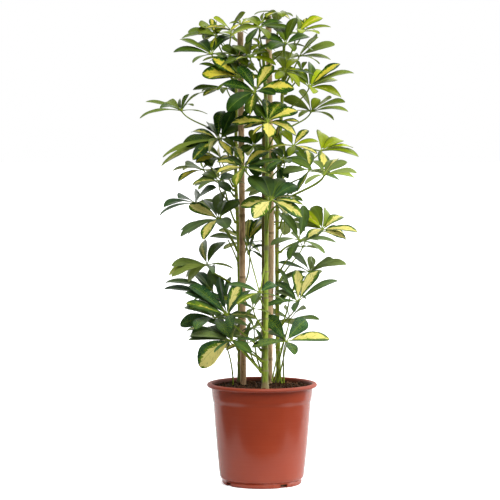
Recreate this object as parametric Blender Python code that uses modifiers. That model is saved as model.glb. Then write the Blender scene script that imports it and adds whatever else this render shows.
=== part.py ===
"""Potted dwarf umbrella tree: three stems on three canes in one nursery pot.

Every compound leaf is one piece: a petiole, a hub and five to nine leaflets.
"""
import itertools
import math
import random

import bmesh
import bpy
from mathutils import Matrix, Vector
from mathutils.bvhtree import BVHTree

for item in list(bpy.data.objects):
    bpy.data.objects.remove(item, do_unlink=True)

# Sizes in metres.
gap = 0.0003
turnSides = 36
rimTop = 0.219
soilTop = 0.2125
soilEdge = 0.2085
stemFoot = 0.150
caneFoot = 0.080
petioleFoot = 0.196
caneRadius = 0.0055
bladeThickness = 0.0008
hubRadius = 0.0042
petioleBase = 0.0020
petioleEnd = 0.0013
drainWidth = 0.015
drainHeight = 0.0042
drainTurn = math.radians(-57)

# The front view is read in steps of gridStep, columns to the right and rows down,
# from an eye at eyeHeight and eyeDistance in front of the pot's axis.
gridStep = 0.002186
eyeHeight = 0.82
eyeDistance = 5.0
axisColumn = 262.0
eyeRow = 109.5

colours = {
    "pot": ((0.335, 0.072, 0.035), 0.32),
    "soil": ((0.035, 0.022, 0.015), 0.95),
    "stem": ((0.150, 0.210, 0.050), 0.55),
    "cane": ((0.400, 0.255, 0.120), 0.60),
    "tie": ((0.045, 0.035, 0.025), 0.50),
    "leaf": ((0.070, 0.150, 0.030), 0.35),
}

# Stems: steps (column, row), depth behind the axis, radius.
stems = {
    "front": [(265.0, 387, -0.060, 0.0068), (265.4, 350, -0.056, 0.0056), (266.0, 300, -0.050, 0.0050),
              (266.3, 250, -0.045, 0.0047), (266.6, 200, -0.040, 0.0045), (267.0, 150, -0.036, 0.0042),
              (266.0, 105, -0.030, 0.0039), (264.0, 70, -0.025, 0.0035), (262.5, 46, -0.020, 0.0030)],
    "left": [(239.5, 381, 0.072, 0.0046), (239.7, 340, 0.069, 0.0042), (239.6, 300, 0.064, 0.0041),
             (239.0, 260, 0.060, 0.0040), (237.6, 215, 0.056, 0.0039), (235.8, 180, 0.052, 0.0038),
             (236.0, 140, 0.049, 0.0036), (237.0, 100, 0.045, 0.0034), (235.0, 52, 0.035, 0.0029)],
    "right": [(279.0, 382, 0.056, 0.0056), (278.0, 340, 0.052, 0.0048), (277.3, 300, 0.047, 0.0044),
              (277.0, 250, 0.045, 0.0043), (277.4, 210, 0.044, 0.0041), (279.0, 160, 0.040, 0.0039),
              (281.0, 120, 0.036, 0.0037), (283.0, 80, 0.030, 0.0034), (284.0, 44, 0.022, 0.0029)],
}
canes = {
    "left": [(243.4, 384, 0.020), (242.0, 205, 0.010), (240.4, 33, 0.000)],
    "right": [(269.6, 383, 0.030), (271.4, 220, 0.024), (268.2, 17, 0.010)],
    "middle": [(264.4, 380, 0.079), (264.6, 250, 0.073), (265.0, 104, 0.062)],
}
tieRow = 302

# Petioles that rise from the soil: steps (column, row) and depth of their foot.
soilFeet = {"left_01": (233.0, 383, 0.030), "right_01": (284.0, 382, 0.040)}

# Leaves: name, stem, row where the petiole leaves the stem, hub (column, row, depth),
# axis the hub faces, reach of a leaflet in steps, leaflets, and tips read in the front view:
# column, row, share of the width that shows, below 0 from its pale side, and 1 or -1 where it
# reaches back or forward.
leaves = [
    ("front_01", "front", 361, (232, 341, -0.085), (-0.45, -0.37, 0.81), 40, 7,
     [(198, 365, 0.95), (187, 341, 0.35), (212, 328, 0.6), (238, 327, 0.6)]),
    ("front_02", "front", 350, (227, 316, -0.075), (-0.25, -0.37, 0.89), 42, 8,
     [(184, 290, 0.6), (188, 300, 0.6), (223, 277, 0.5), (233, 288, 1.0, 1), (248, 291, 0.5),
      (242, 304, 0.5)]),
    ("front_03", "front", 372, (247, 344, -0.105), (-0.15, -0.45, 0.88), 24, 5,
     [(254, 323, 0.55), (263, 335, 0.55), (238, 337, 0.5), (251, 350, 0.3, -1)]),
    ("front_04", "front", 332, (253, 309, -0.110), (-0.10, -0.36, 0.93), 22, 6,
     [(244, 301, 0.4), (249, 295, 0.5), (256, 296, 0.4), (243, 308, 0.3), (248, 313, 0.4, -1)]),
    ("front_05", "front", 312, (260, 293, -0.130), (0.05, -0.20, 0.98), 30, 6,
     [(226, 285, 0.45), (238, 303, 0.5), (267, 285, 0.8), (252, 301, 0.5, -1), (266, 297, 0.4, 1)]),
    ("front_06", "front", 232, (271, 200, -0.145), (0.05, -0.80, 0.60), 38, 8,
     [(240, 206, 0.8), (253, 217, 0.9), (289, 213, 0.8), (303, 206, 0.8), (300, 188, 0.8), (252, 174, 0.9),
      (268, 176, 0.9), (284, 180, 0.9)]),
    ("front_07", "front", 190, (244, 168, -0.130), (-0.25, -0.42, 0.87), 34, 8,
     [(235, 147, 0.8), (262, 150, 0.7), (262, 160), (218, 162, 0.6), (222, 172), (236, 184, 0.6)]),
    ("front_08", "front", 212, (324, 175, -0.100), (0.20, -0.10, 0.97), 34, 5,
     [(347, 162, 0.5), (357, 170, 0.4), (356, 178, 0.5), (318, 174, 0.4, 1)]),
    ("front_09", "front", 184, (283, 160, -0.120), (0.25, -0.42, 0.87), 32, 8,
     [(296, 150, 0.8), (272, 150, 0.8)]),
    ("front_10", "front", 152, (267, 122, -0.165), (0.05, -0.78, 0.62), 36, 8,
     [(262, 100, 0.8), (287, 105, 0.9), (300, 115, 0.7), (295, 128, 0.6), (268, 137, 0.9), (243, 126, 0.7),
      (232, 117, 0.6), (248, 104, 0.7)]),
    ("front_11", "front", 120, (255, 92, -0.150), (-0.05, -0.70, 0.71), 36, 8,
     [(238, 66, 0.8), (272, 65, 0.8), (294, 88, 0.8), (222, 84, 0.6), (250, 114, 0.7), (227, 111, 0.9)]),
    ("front_12", "front", 104, (240, 78, -0.105), (-0.45, -0.30, 0.84), 38, 8,
     [(211, 60, 0.8), (203, 72, 0.9), (228, 56, 0.7), (248, 62, 0.7)]),
    ("front_13", "front", 82, (250, 58, -0.090), (-0.10, -0.36, 0.93), 32, 7,
     [(248, 38, 0.7), (266, 52, 0.6), (234, 45, 0.6)]),
    ("front_14", "front", 92, (284, 72, -0.095), (0.30, -0.36, 0.88), 32, 7,
     [(300, 60, 0.7), (276, 56, 0.8), (298, 84, 0.7)]),
    ("front_15", "front", 70, (285, 45, -0.080), (0.20, -0.30, 0.93), 34, 8,
     [(278, 27, 0.9), (291, 17, 0.7), (264, 37, 0.6), (270, 51, 0.6), (309, 36, 0.6)]),
    ("front_16", "front", 49, (259, 28, -0.060), (0.00, -0.30, 0.95), 34, 8,
     [(238, 20, 0.6), (236, 31, 0.5), (283, 22, 0.6), (268, 40, 0.6), (247, 45, 0.6)]),
    ("left_01", "left", 366, (220, 334, 0.020), (-0.55, -0.27, 0.79), 40, 7,
     [(186, 332, 0.4, 1), (192, 334, 0.85, -1), (228, 345, 0.5, -1)]),
    ("left_02", "left", 350, (215, 318, 0.035), (-0.50, -0.24, 0.83), 40, 8,
     [(182, 310, 0.45), (180, 325, 0.9), (206, 312, 0.7), (196, 326, 0.5, -1), (229, 332, 0.7)]),
    ("left_03", "left", 328, (213, 297, 0.075), (-0.45, -0.20, 0.87), 42, 7,
     [(165, 287, 0.3), (189, 278, 0.75), (208, 268, 0.7), (201, 309, 0.4)]),
    ("left_04", "left", 290, (207, 265, 0.010), (-0.42, -0.27, 0.87), 38, 7,
     [(168, 275, 0.5), (173, 262, 0.6), (206, 241, 0.75), (222, 243, 0.6), (181, 282, 0.6),
      (214, 270, 0.4, -1)]),
    ("left_05", "left", 264, (247, 243, 0.130), (0.00, 0.25, 0.97), 38, 7,
     [(211, 235, 0.4), (217, 230, 0.25), (250, 219, 0.6), (263, 217, 0.5), (262, 257, 0.5)]),
    ("left_06", "left", 250, (219, 219, -0.030), (-0.35, -0.37, 0.86), 40, 8,
     [(217, 194, 0.8), (238, 200, 0.5), (187, 207, 0.85), (198, 203, 0.4), (179, 229, 0.55),
      (186, 236, 0.3),
      (204, 237, 0.65), (228, 226, 0.8, -1)]),
    ("left_07", "left", 232, (196, 203, 0.100), (-0.50, 0.10, 0.86), 36, 7,
     [(163, 207, 0.35), (160, 214, 0.2), (178, 197, 0.9), (204, 190, 0.65), (213, 188, 0.4)]),
    ("left_08", "left", 208, (219, 181, 0.000), (-0.35, -0.21, 0.91), 32, 7,
     [(194, 185, 0.6), (202, 174, 0.7), (237, 178, 0.6)]),
    ("left_09", "left", 196, (204, 170, 0.120), (-0.40, 0.15, 0.90), 32, 7,
     [(179, 169, 0.5), (183, 178, 0.4), (202, 153, 0.7)]),
    ("left_10", "left", 166, (219, 140, -0.010), (-0.45, -0.30, 0.84), 42, 9,
     [(212, 121, 0.6), (226, 109, 0.95), (239, 128, 0.7), (232, 155, 0.6), (188, 134, 0.5),
      (163, 153, 0.55),
      (160, 166, 0.4), (190, 162, 0.5), (209, 152, -0.8, -1)]),
    ("left_11", "left", 143, (182, 111, 0.055), (-0.40, -0.10, 0.91), 40, 7,
     [(142, 104, 0.5), (141, 116, 0.4), (178, 96, 0.85), (199, 94, 0.35), (162, 108, 0.5, -1),
      (190, 107, 0.4, 1)]),
    ("left_16", "left", 60, (231, 31, 0.035), (-0.10, 0.05, 0.99), 27, 7,
     [(245, 14, 0.6), (211, 20, 0.5), (208, 28, 0.4)]),
    ("left_12", "left", 108, (227, 89, 0.100), (-0.30, 0.20, 0.93), 36, 8, [(194, 89, 0.5), (203, 97, 0.5)]),
    ("left_13", "left", 84, (231, 60, 0.120), (-0.10, 0.45, 0.89), 32, 7, [(222, 42, 0.7)]),
    ("left_14", "left", 80, (212, 55, 0.000), (-0.35, -0.18, 0.92), 38, 8,
     [(175, 50, 0.5), (177, 41, 0.45), (230, 36, 0.7), (202, 40, 0.95), (217, 39, 0.7)]),
    ("left_15", "left", 62, (217, 34, 0.115), (-0.30, 0.15, 0.95), 34, 7,
     [(183, 37, 0.35), (191, 33, 0.5), (199, 27, 0.7), (206, 24, 0.6)]),
    ("right_01", "right", 374, (286, 342, -0.010), (0.30, -0.33, 0.90), 42, 7,
     [(274, 319, 1.0), (303, 321, 1.0), (330, 340, 0.6), (294, 350, 0.7, -1), (263, 337, 0.5),
      (271, 348, 0.6)]),
    ("right_02", "right", 352, (290, 320, 0.090), (0.20, 0.30, 0.93), 32, 6,
     [(307, 307, 0.45), (310, 313, 0.35), (284, 305, 0.85), (276, 309, 0.5)]),
    ("right_03", "right", 330, (298, 302, -0.010), (0.30, -0.30, 0.91), 40, 7,
     [(292, 271, 0.95), (319, 272, 0.95), (338, 281, 0.5), (276, 284, 0.75), (279, 293, 0.6),
      (294, 308, 0.4, -1)]),
    ("right_04", "right", 304, (310, 272, 0.110), (0.30, 0.10, 0.95), 36, 7,
     [(290, 253, 0.5), (280, 262, 0.3), (310, 257, 0.95), (333, 259, 0.65), (346, 263, 0.5),
      (277, 284, 0.4)]),
    ("right_05", "right", 284, (303, 247, 0.140), (0.30, 0.45, 0.84), 26, 5,
     [(307, 229, 0.7), (297, 232, 0.6), (284, 252, 0.5)]),
    ("right_06", "right", 272, (299, 240, 0.000), (0.25, -0.33, 0.91), 40, 7,
     [(286, 213, 0.7), (300, 205, 0.85), (337, 243, 0.35), (321, 243, 0.35), (278, 247, 0.3),
      (280, 254, 0.6)]),
    ("right_07", "right", 252, (322, 230, 0.050), (0.50, -0.25, 0.83), 36, 8,
     [(327, 210, 0.75), (344, 217, 0.65), (357, 229, 0.5), (346, 239, 0.5), (300, 224, 0.9),
      (312, 206, 1.0),
      (307, 236, 0.5), (305, 213, 0.8)]),
    ("right_08", "right", 248, (285, 222, 0.150), (0.05, 0.50, 0.86), 34, 7,
     [(291, 208, 0.8), (279, 209, 0.7), (285, 236, -0.9)]),
    ("right_09", "right", 190, (309, 170, 0.000), (0.30, -0.24, 0.92), 34, 7,
     [(296, 146, 0.8), (283, 172, 0.6), (306, 150, 0.8), (297, 190, 0.5)]),
    ("right_10", "right", 180, (321, 151, 0.080), (0.45, -0.10, 0.89), 36, 8,
     [(323, 132, 0.85), (345, 141, 0.65), (358, 155, 0.35), (355, 149, 0.25), (321, 166, 0.8)]),
    ("right_11", "right", 164, (293, 146, -0.040), (0.20, -0.24, 0.95), 30, 7,
     [(281, 131, 0.9), (309, 130, 0.8), (318, 141, 0.5)]),
    ("right_12", "right", 134, (311, 112, 0.090), (0.35, 0.10, 0.93), 36, 8,
     [(297, 91, 0.75), (330, 98, 0.85), (347, 104, 0.35), (347, 110, 0.3), (284, 100, 0.75)]),
    ("right_13", "right", 116, (309, 88, -0.010), (0.35, -0.21, 0.91), 40, 9,
     [(311, 62, 0.7), (298, 69, 0.6), (342, 65, 0.55), (352, 71, 0.35), (339, 80, 0.5), (337, 93, 0.6),
      (278, 68, 0.7), (325, 71, 0.9)]),
    ("right_14", "right", 86, (299, 57, 0.080), (0.30, 0.10, 0.95), 36, 8,
     [(315, 39, 0.7), (334, 45, 0.5), (286, 66, 0.6)]),
    ("right_15", "right", 62, (297, 34, 0.020), (0.30, -0.15, 0.94), 34, 8,
     [(299, 17, 0.75), (325, 19, 0.7), (329, 26, 0.35)]),
    ("right_16", "right", 46, (278, 14, 0.030), (0.00, -0.05, 1.00), 26, 8, [(263, 18, 0.5), (291, 20, 0.5)]),
    ("back_01", "left", 150, (250, 146, 0.150), (-0.05, 0.60, 0.80), 34, 8, [(255, 131, 0.7)]),
    ("back_02", "right", 222, (268, 188, 0.170), (0.05, 0.65, 0.76), 28, 8, []),
    ("back_03", "right", 344, (276, 322, 0.170), (0.10, 0.60, 0.80), 30, 7, []),
]


def readPlace(column, row, depth):
    """Point at a column, row and depth of the front view."""
    spread = gridStep * (1 + depth / eyeDistance)
    return Vector(((column - axisColumn) * spread, depth, eyeHeight - (row - eyeRow) * spread))


def makeMaterial(name):
    colour, roughness = colours[name]
    made = bpy.data.materials.new(name)
    made.use_nodes = True
    shader = made.node_tree.nodes["Principled BSDF"]
    shader.inputs["Base Color"].default_value = (*colour, 1)
    shader.inputs["Roughness"].default_value = roughness
    return made


materials = {name: makeMaterial(name) for name in colours}


def finish(piece, name, material, smooth=30):
    piece.name = name
    piece.data.name = name
    piece.data.materials.clear()
    piece.data.materials.append(materials[material])
    bpy.ops.object.select_all(action="DESELECT")
    piece.select_set(True)
    bpy.context.view_layer.objects.active = piece
    if smooth:
        bpy.ops.object.shade_smooth()
        piece.data.set_sharp_from_angle(angle=math.radians(smooth))
    return piece


def meshOf(piece):
    """Give back the piece as a plain mesh object, its modifiers applied."""
    bpy.context.view_layer.update()
    depsgraph = bpy.context.evaluated_depsgraph_get()
    mesh = bpy.data.meshes.new_from_object(piece.evaluated_get(depsgraph))
    shape = bmesh.new()
    shape.from_mesh(mesh)
    bmesh.ops.remove_doubles(shape, verts=shape.verts, dist=1e-6)
    bmesh.ops.recalc_face_normals(shape, faces=shape.faces)
    shape.to_mesh(mesh)
    shape.free()
    made = bpy.data.objects.new(piece.name + "_mesh", mesh)
    made.matrix_world = piece.matrix_world.copy()
    bpy.data.objects.remove(piece, do_unlink=True)
    bpy.context.scene.collection.objects.link(made)
    return made


def tube(points, radii, sides):
    """A filled tube along points, made from a bevelled curve."""
    curve = bpy.data.curves.new("run", "CURVE")
    curve.dimensions = "3D"
    curve.bevel_depth = 1.0
    curve.bevel_resolution = (sides - 4) // 2
    curve.use_fill_caps = True
    spline = curve.splines.new("POLY")
    spline.points.add(len(points) - 1)
    for step, (point, radius) in enumerate(zip(points, radii)):
        spline.points[step].co = (*point, 1)
        spline.points[step].radius = radius
    made = bpy.data.objects.new("run", curve)
    bpy.context.scene.collection.objects.link(made)
    return meshOf(made)


def turned(profile):
    """A body turned round the upright axis from points (radius, height)."""
    mesh = bpy.data.meshes.new("profile")
    edges = [(step, step + 1) for step in range(len(profile) - 1)]
    mesh.from_pydata([(radius, 0, height) for radius, height in profile], edges, [])
    made = bpy.data.objects.new("profile", mesh)
    bpy.context.scene.collection.objects.link(made)
    screw = made.modifiers.new("Screw", "SCREW")
    screw.steps = turnSides
    screw.render_steps = turnSides
    screw.use_merge_vertices = True
    screw.merge_threshold = 0.00005
    return meshOf(made)


def combine(piece, others, operation, solver="EXACT"):
    """Join the others to the piece, or cut them from it, and remove them."""
    group = bpy.data.collections.new("group")
    bpy.context.scene.collection.children.link(group)
    for other in others:
        for home in list(other.users_collection):
            home.objects.unlink(other)
        group.objects.link(other)
        other.hide_render = True
        other.display_type = "WIRE"
    change = piece.modifiers.new("Boolean", "BOOLEAN")
    change.operation = operation
    change.operand_type = "COLLECTION"
    change.collection = group
    change.solver = solver
    made = meshOf(piece)
    for other in list(group.objects):
        bpy.data.objects.remove(other, do_unlink=True)
    bpy.data.collections.remove(group)
    return made


# Pot: a rolled flange on a short collar, a tapered body and a stepped foot.
outerWall = [(0.1130, 0.2190), (0.1190, 0.2172), (0.1207, 0.2150), (0.1200, 0.2125), (0.1160, 0.2102),
             (0.1113, 0.2072), (0.1100, 0.2040), (0.1085, 0.1850), (0.1050, 0.1818), (0.0912, 0.0145),
             (0.0880, 0.0110), (0.0853, 0.0)]
innerWall = [(0.0836, 0.0030), (0.0864, 0.0122), (0.0896, 0.0156), (0.1034, 0.1828), (0.1069, 0.1860),
             (0.1084, 0.2045), (0.1096, 0.2180)]
pot = turned([(0, 0.0030)] + innerWall + outerWall + [(0, 0)])
drains = []
for quarter in range(4):
    turn = Matrix.Rotation(drainTurn + quarter * math.pi / 2, 4, "Z")
    bpy.ops.mesh.primitive_cube_add(size=1)
    drain = bpy.context.active_object
    drain.data.transform(Matrix.Diagonal((0.014, drainWidth, 2 * drainHeight, 1)))
    drain.matrix_world = turn @ Matrix.Translation((0.0840, 0, 0))
    drains.append(drain)
finish(combine(pot, drains, "DIFFERENCE"), "pot", "pot")


def stemPath(name):
    """Stem points with radii, upright in the soil."""
    run = [(readPlace(column, row, depth), radius) for column, row, depth, radius in stems[name]]
    foot, radius = run[0]
    below = [(Vector((foot.x, foot.y, stemFoot)), radius), (Vector((foot.x, foot.y, 0.216)), radius)]
    return below + run[1:]


def canePath(name):
    low, middle, high = [readPlace(*row) for row in canes[name]]
    down = (middle - low).normalized()
    foot = low - down * (low.z - caneFoot) / down.z
    bend = [foot + down * 0.20, middle - down * 0.06, middle + (high - middle).normalized() * 0.06]
    return [foot] + bend + [high]


stemRuns = {name: stemPath(name) for name in stems}
caneRuns = {name: canePath(name) for name in canes}
stemBodies = {}
for name, run in stemRuns.items():
    body = tube([point for point, radius in run], [radius for point, radius in run], 8)
    stemBodies[name] = finish(body, "stem_" + name, "stem", 50)
caneBodies = {}
for name, run in caneRuns.items():
    caneBodies[name] = finish(tube(run, [caneRadius] * len(run), 10), "cane_" + name, "cane", 50)

# Soil: fills the pot a gap inside its wall, with a plain hole for each stem and cane.
inside = [(radius - 0.0004, height + 0.0002) for radius, height in innerWall[:-1]]
inside[0] = (innerWall[0][0] - 0.0004, innerWall[0][1] + gap)
surface = [(0, soilTop + 0.0015), (0.035, soilTop + 0.001), (0.075, soilTop), (0.1080, soilEdge)]
soil = turned(surface + inside[::-1] + [(0, innerWall[0][1] + gap)])
rng = random.Random(4)
for vertex in soil.data.vertices:
    span = math.hypot(vertex.co.x, vertex.co.y)
    if vertex.co.z > 0.2095 and span < 0.09:
        vertex.co.z += rng.uniform(-0.0016, 0.0016)
holes = []
for run in stemRuns.values():
    foot, radius = run[0]
    ends = [foot - Vector((0, 0, gap)), Vector((foot.x, foot.y, 0.24))]
    holes.append(tube(ends, [radius + 0.0004] * 2, 8))
for spot in soilFeet.values():
    foot = readPlace(*spot)
    ends = [Vector((foot.x, foot.y, petioleFoot - gap)), Vector((foot.x, foot.y, 0.24))]
    holes.append(tube(ends, [petioleBase + 0.0004] * 2, 4))
for run in caneRuns.values():
    lean = (run[1] - run[0]).normalized()
    holes.append(tube([run[0] - lean * gap, run[0] + lean * 0.20], [caneRadius + 0.0004] * 2, 10))
finish(combine(soil, holes, "DIFFERENCE"), "soil", "soil", 40)


def pathAt(run, height):
    """Centre and radius of a run at a height."""
    for (low, lowRadius), (high, highRadius) in zip(run, run[1:]):
        if low.z <= height <= high.z:
            share = (height - low.z) / (high.z - low.z)
            return low.lerp(high, share), lowRadius + (highRadius - lowRadius) * share
    return run[-1]


# Tie: a cord looped once round the right cane and the right stem.
tieHeight = readPlace(axisColumn, tieRow, 0.04).z
stemCentre, stemRadius = pathAt(stemRuns["right"], tieHeight)
caneCentre, caneSize = pathAt([(point, caneRadius) for point in caneRuns["right"]], tieHeight)
along = (stemCentre - caneCentre).to_2d()
across = Vector((-along.y, along.x)).normalized()
along.normalize()
cord = 0.0012
loop = []
for centre, radius, start in ((stemCentre, stemRadius, -90), (caneCentre, caneRadius, 90)):
    for step in range(6):
        turn = math.radians(start + step * 36)
        ray = along * math.cos(turn) + across * math.sin(turn)
        flat = centre.to_2d() + ray * (radius + cord + 0.0005)
        loop.append(Vector((flat.x, flat.y, tieHeight)))
curve = bpy.data.curves.new("loop", "CURVE")
curve.dimensions = "3D"
curve.bevel_depth = cord
curve.bevel_resolution = 1
spline = curve.splines.new("POLY")
spline.points.add(len(loop) - 1)
for step, point in enumerate(loop):
    spline.points[step].co = (*point, 1)
spline.use_cyclic_u = True
tie = bpy.data.objects.new("tie", curve)
bpy.context.scene.collection.objects.link(tie)
finish(meshOf(tie), "tie", "tie", 50)


def turnFrame(axis):
    """Two directions across the axis."""
    side = axis.cross(Vector((0, 0, 1)))
    if side.length < 0.2:
        side = axis.cross(Vector((0, 1, 0)))
    side.normalize()
    return side, axis.cross(side).normalized()


def leafletRoll(axis, turn, slope, shown):
    """Turn of a leaflet about its own length that shows a share of its width in the front view."""
    if shown is None:
        return 0
    side, up = turnFrame(axis)
    out = side * math.cos(turn) + up * math.sin(turn)
    flank = axis.cross(out)
    normal = axis * math.cos(slope) - out * math.sin(slope)
    facing = math.atan2(-flank.y, -normal.y)
    rolls = [sign * math.acos(shown) - facing for sign in (-1, 1)]
    rolls = [(roll + math.pi) % (2 * math.pi) - math.pi for roll in rolls]
    return max(-1.1, min(1.1, min(rolls, key=abs)))


def leafletRays(leaf, hub, axis, rng):
    """Turn, slope, reach and roll of each leaflet about the hub's axis, the read tips first."""
    name, stem, leaveRow, (column, row, depth), facing, steps, count, tips = leaf
    spread = gridStep * (1 + depth / eyeDistance)
    reach = steps * spread
    side, up = turnFrame(axis)
    outward = hub - pathAt(stemRuns[stem], hub.z)[0]
    outward.z = 0
    outward.normalize()
    rays = []
    for tipColumn, tipRow, *more in tips:
        flat = Vector(((tipColumn - column) * spread, 0, (row - tipRow) * spread))
        full = max(reach * rng.uniform(0.92, 1.04), flat.length * 1.03)
        deep = math.sqrt(full * full - flat.length_squared)
        picks = [Vector((flat.x, sign * deep, flat.z)) for sign in more[1:] or (-1, 1)]
        ray = min(picks, key=lambda pick: abs(pick.dot(axis) / full + 0.25))
        slope = max(-1.2, min(1.0, math.asin(max(-1, min(1, ray.dot(axis) / full)))))
        rays.append([math.atan2(ray.dot(up), ray.dot(side)), slope, full, more[0] if more else None])
    if not rays:
        rays.append([rng.uniform(-3.1, 3.1), -0.25, reach, None])
    while len(rays) < count:
        rays.sort()
        turns = [ray[0] for ray in rays] + [rays[0][0] + 2 * math.pi]
        widths = [after - before for before, after in zip(turns, turns[1:])]
        widest = widths.index(max(widths))
        turn = turns[widest] + widths[widest] * rng.uniform(0.45, 0.55)
        turn = (turn + math.pi) % (2 * math.pi) - math.pi
        out = side * math.cos(turn) + up * math.sin(turn)
        sink = rng.uniform(-0.34, 0.0)
        slope = min((step / 20 for step in range(-12, 20)), key=lambda slope: abs(
            out.z * math.cos(slope) + axis.z * math.sin(slope) - sink) + 0.15 * abs(slope + 0.2))
        inward = max(0, -out.dot(outward))
        rays.append([turn, slope, reach * rng.uniform(0.84, 0.98) * (1 - 0.30 * inward), None])
    rays.sort()
    least = 0.64 * 2 * math.pi / count
    for sweep in range(60):
        for spot in range(count):
            after = (spot + 1) % count
            width = (rays[after][0] - rays[spot][0]) % (2 * math.pi)
            if width < least:
                rays[spot][0] -= (least - width) / 2
                rays[after][0] += (least - width) / 2
    rays.sort()
    return [(turn, slope, reach, leafletRoll(axis, turn, slope, shown))
            for turn, slope, reach, shown in rays]


def leafletPoint(hub, axis, ray, arch, share, across, lift):
    """Point of a leaflet at a share of its reach, a distance across and a lift."""
    turn, slope, reach, roll = ray
    side, up = turnFrame(axis)
    out = side * math.cos(turn) + up * math.sin(turn)
    flank = axis.cross(out)
    normal = axis * math.cos(slope) - out * math.sin(slope)
    height = reach * (math.sin(slope) * share + arch * 4 * share * (1 - share))
    spine = hub + out * (reach * math.cos(slope) * share) + axis * height
    aside = flank * math.cos(roll) + normal * math.sin(roll)
    above = normal * math.cos(roll) - flank * math.sin(roll)
    return spine + aside * across + above * lift


def leafSheet(leaf, hub, axis, rng):
    """Vertices and triangles of the leaflets as one star-shaped sheet."""
    rays = leafletRays(leaf, hub, axis, rng)
    count = len(rays)
    points = [hub.copy()]
    for spot in range(count):
        turn, slope = rays[spot][:2]
        before = (turn - rays[spot - 1][0]) % (2 * math.pi)
        low = (slope + rays[spot - 1][1]) / 2
        between = (turn - before / 2, low, hubRadius, 0)
        points.append(leafletPoint(hub, axis, between, 0, 1, 0, 0))
    triangles = []
    for spot, ray in enumerate(rays):
        before = (ray[0] - rays[spot - 1][0]) % (2 * math.pi)
        after = (rays[(spot + 1) % count][0] - ray[0]) % (2 * math.pi)
        tight = min(before, after)
        reach = ray[2]
        half = reach * rng.uniform(0.170, 0.205)
        arch = rng.uniform(0.05, 0.11)
        fold = rng.uniform(0.16, 0.30)
        lowHalf = min(half * 0.86, 0.44 * reach * math.tan(tight / 2) * 0.84)
        rows = [
            (0.47, -lowHalf, fold * lowHalf), (0.47, 0, 0), (0.47, lowHalf, fold * lowHalf),
            (0.80, -half * 0.84, fold * half * 0.6), (0.80, half * 0.84, fold * half * 0.6),
            (1.0, 0, 0),
        ]
        first = len(points)
        points += [leafletPoint(hub, axis, ray, arch, *row) for row in rows]
        a = 1 + spot
        b = 1 + (spot + 1) % count
        c, d, e, f, g, h = range(first, first + 6)
        triangles += [(a, b, d), (a, d, c), (b, e, d), (c, d, f), (d, e, g), (d, g, f), (f, g, h), (0, b, a)]
    return points, triangles


def petiolePoints(leaf, hub, axis, bow):
    """Points of the petiole from the stem's surface to just through the hub."""
    stem = leaf[1]
    rise = 0.75
    if leaf[0] in soilFeet:
        foot = readPlace(*soilFeet[leaf[0]])
        start = Vector((foot.x, foot.y, petioleFoot))
        begin = Vector((foot.x, foot.y, soilTop + 0.006))
        out = Vector((0, 0, 0))
        rise = 1.0
    else:
        height = readPlace(axisColumn, leaf[2], stemRuns[stem][4][0].y).z
        centre, radius = pathAt(stemRuns[stem], height)
        out = hub - centre
        out.z = 0
        out.normalize()
        start = centre + out * (radius + gap)
        begin = start + out * 0.004
    span = (hub - begin).length
    sideways = Vector((-out.y, out.x, 0)) * bow
    first = begin + (out * 0.55 + Vector((0, 0, rise))) * span * 0.34 + sideways
    last = hub - axis * min(0.03, span * 0.3) + sideways
    points = [start]
    for step in range(5):
        t = step / 4
        s = 1 - t
        points.append(begin * s ** 3 + first * 3 * s * s * t + last * 3 * s * t * t + hub * t ** 3)
    points[-1] = hub + axis * 0.0002
    return points


def prism(points, radius):
    """A thin three-sided run round the points, for testing clearances."""
    verts = []
    faces = []
    for step, point in enumerate(points):
        ahead = points[min(step + 1, len(points) - 1)] - points[max(step - 1, 0)]
        side, up = turnFrame(ahead.normalized())
        for corner in range(3):
            turn = corner * 2 * math.pi / 3
            verts.append(point + (side * math.cos(turn) + up * math.sin(turn)) * radius)
    for step in range(len(points) - 1):
        for corner in range(3):
            a = step * 3 + corner
            b = step * 3 + (corner + 1) % 3
            faces += [(a, b, b + 3), (a, b + 3, a + 3)]
    return verts, faces


def bodyTree(piece):
    piece.data.calc_loop_triangles()
    verts = [piece.matrix_world @ vertex.co for vertex in piece.data.vertices]
    return BVHTree.FromPolygons(verts, [tuple(tri.vertices) for tri in piece.data.loop_triangles])


def samples(points, triangles):
    """The corners, edge middles and centres of the triangles."""
    made = list(points)
    for a, b, c in triangles:
        made += [(points[a] + points[b]) / 2, (points[b] + points[c]) / 2]
        made.append((points[a] + points[b] + points[c]) / 3)
    return made


fixedTrees = [bodyTree(piece) for piece in list(stemBodies.values()) + list(caneBodies.values())]
fixedTrees += [bodyTree(bpy.data.objects[name]) for name in ("pot", "soil", "tie")]
nudges = [(0, 0), (0, 3), (0, -3), (3, 0), (-3, 0), (4, 4), (-4, 4), (4, -4), (-4, -4)]
leans = [(0, 0), (0.15, 0), (-0.15, 0), (0, 0.014), (0, -0.014), (0.2, 0.02), (-0.2, -0.02)]
shifts = [0, 0.008, -0.008, 0.016, -0.016, 0.024, -0.024, 0.034, -0.034, 0.044, -0.044, 0.056, -0.056]
clearances = {"sheet": 0.0030, "petiole": 0.0032}


def clashes(sheet, stalk, placed):
    """How many test points of a leaf come too near to what stands already."""
    points = samples(*sheet)
    stalkPoints = []
    for before, after in zip(stalk[1:], stalk[2:]):
        stalkPoints += [before, before.lerp(after, 0.33), before.lerp(after, 0.67)]
    stalkPoints = stalkPoints[2:]
    verts, faces = prism(stalk[1:], 0.0028)
    sheetTree = BVHTree.FromPolygons(*sheet)
    stalkTree = BVHTree.FromPolygons(verts, faces)
    found = 0
    for tree in fixedTrees + [tree for pair in placed for tree in pair]:
        found += 4 * len(sheetTree.overlap(tree)) + 4 * len(stalkTree.overlap(tree))
        found += sum(tree.find_nearest(point, clearances["sheet"])[0] is not None for point in points)
        found += sum(tree.find_nearest(point, clearances["petiole"])[0] is not None for point in stalkPoints)
    return found


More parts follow.
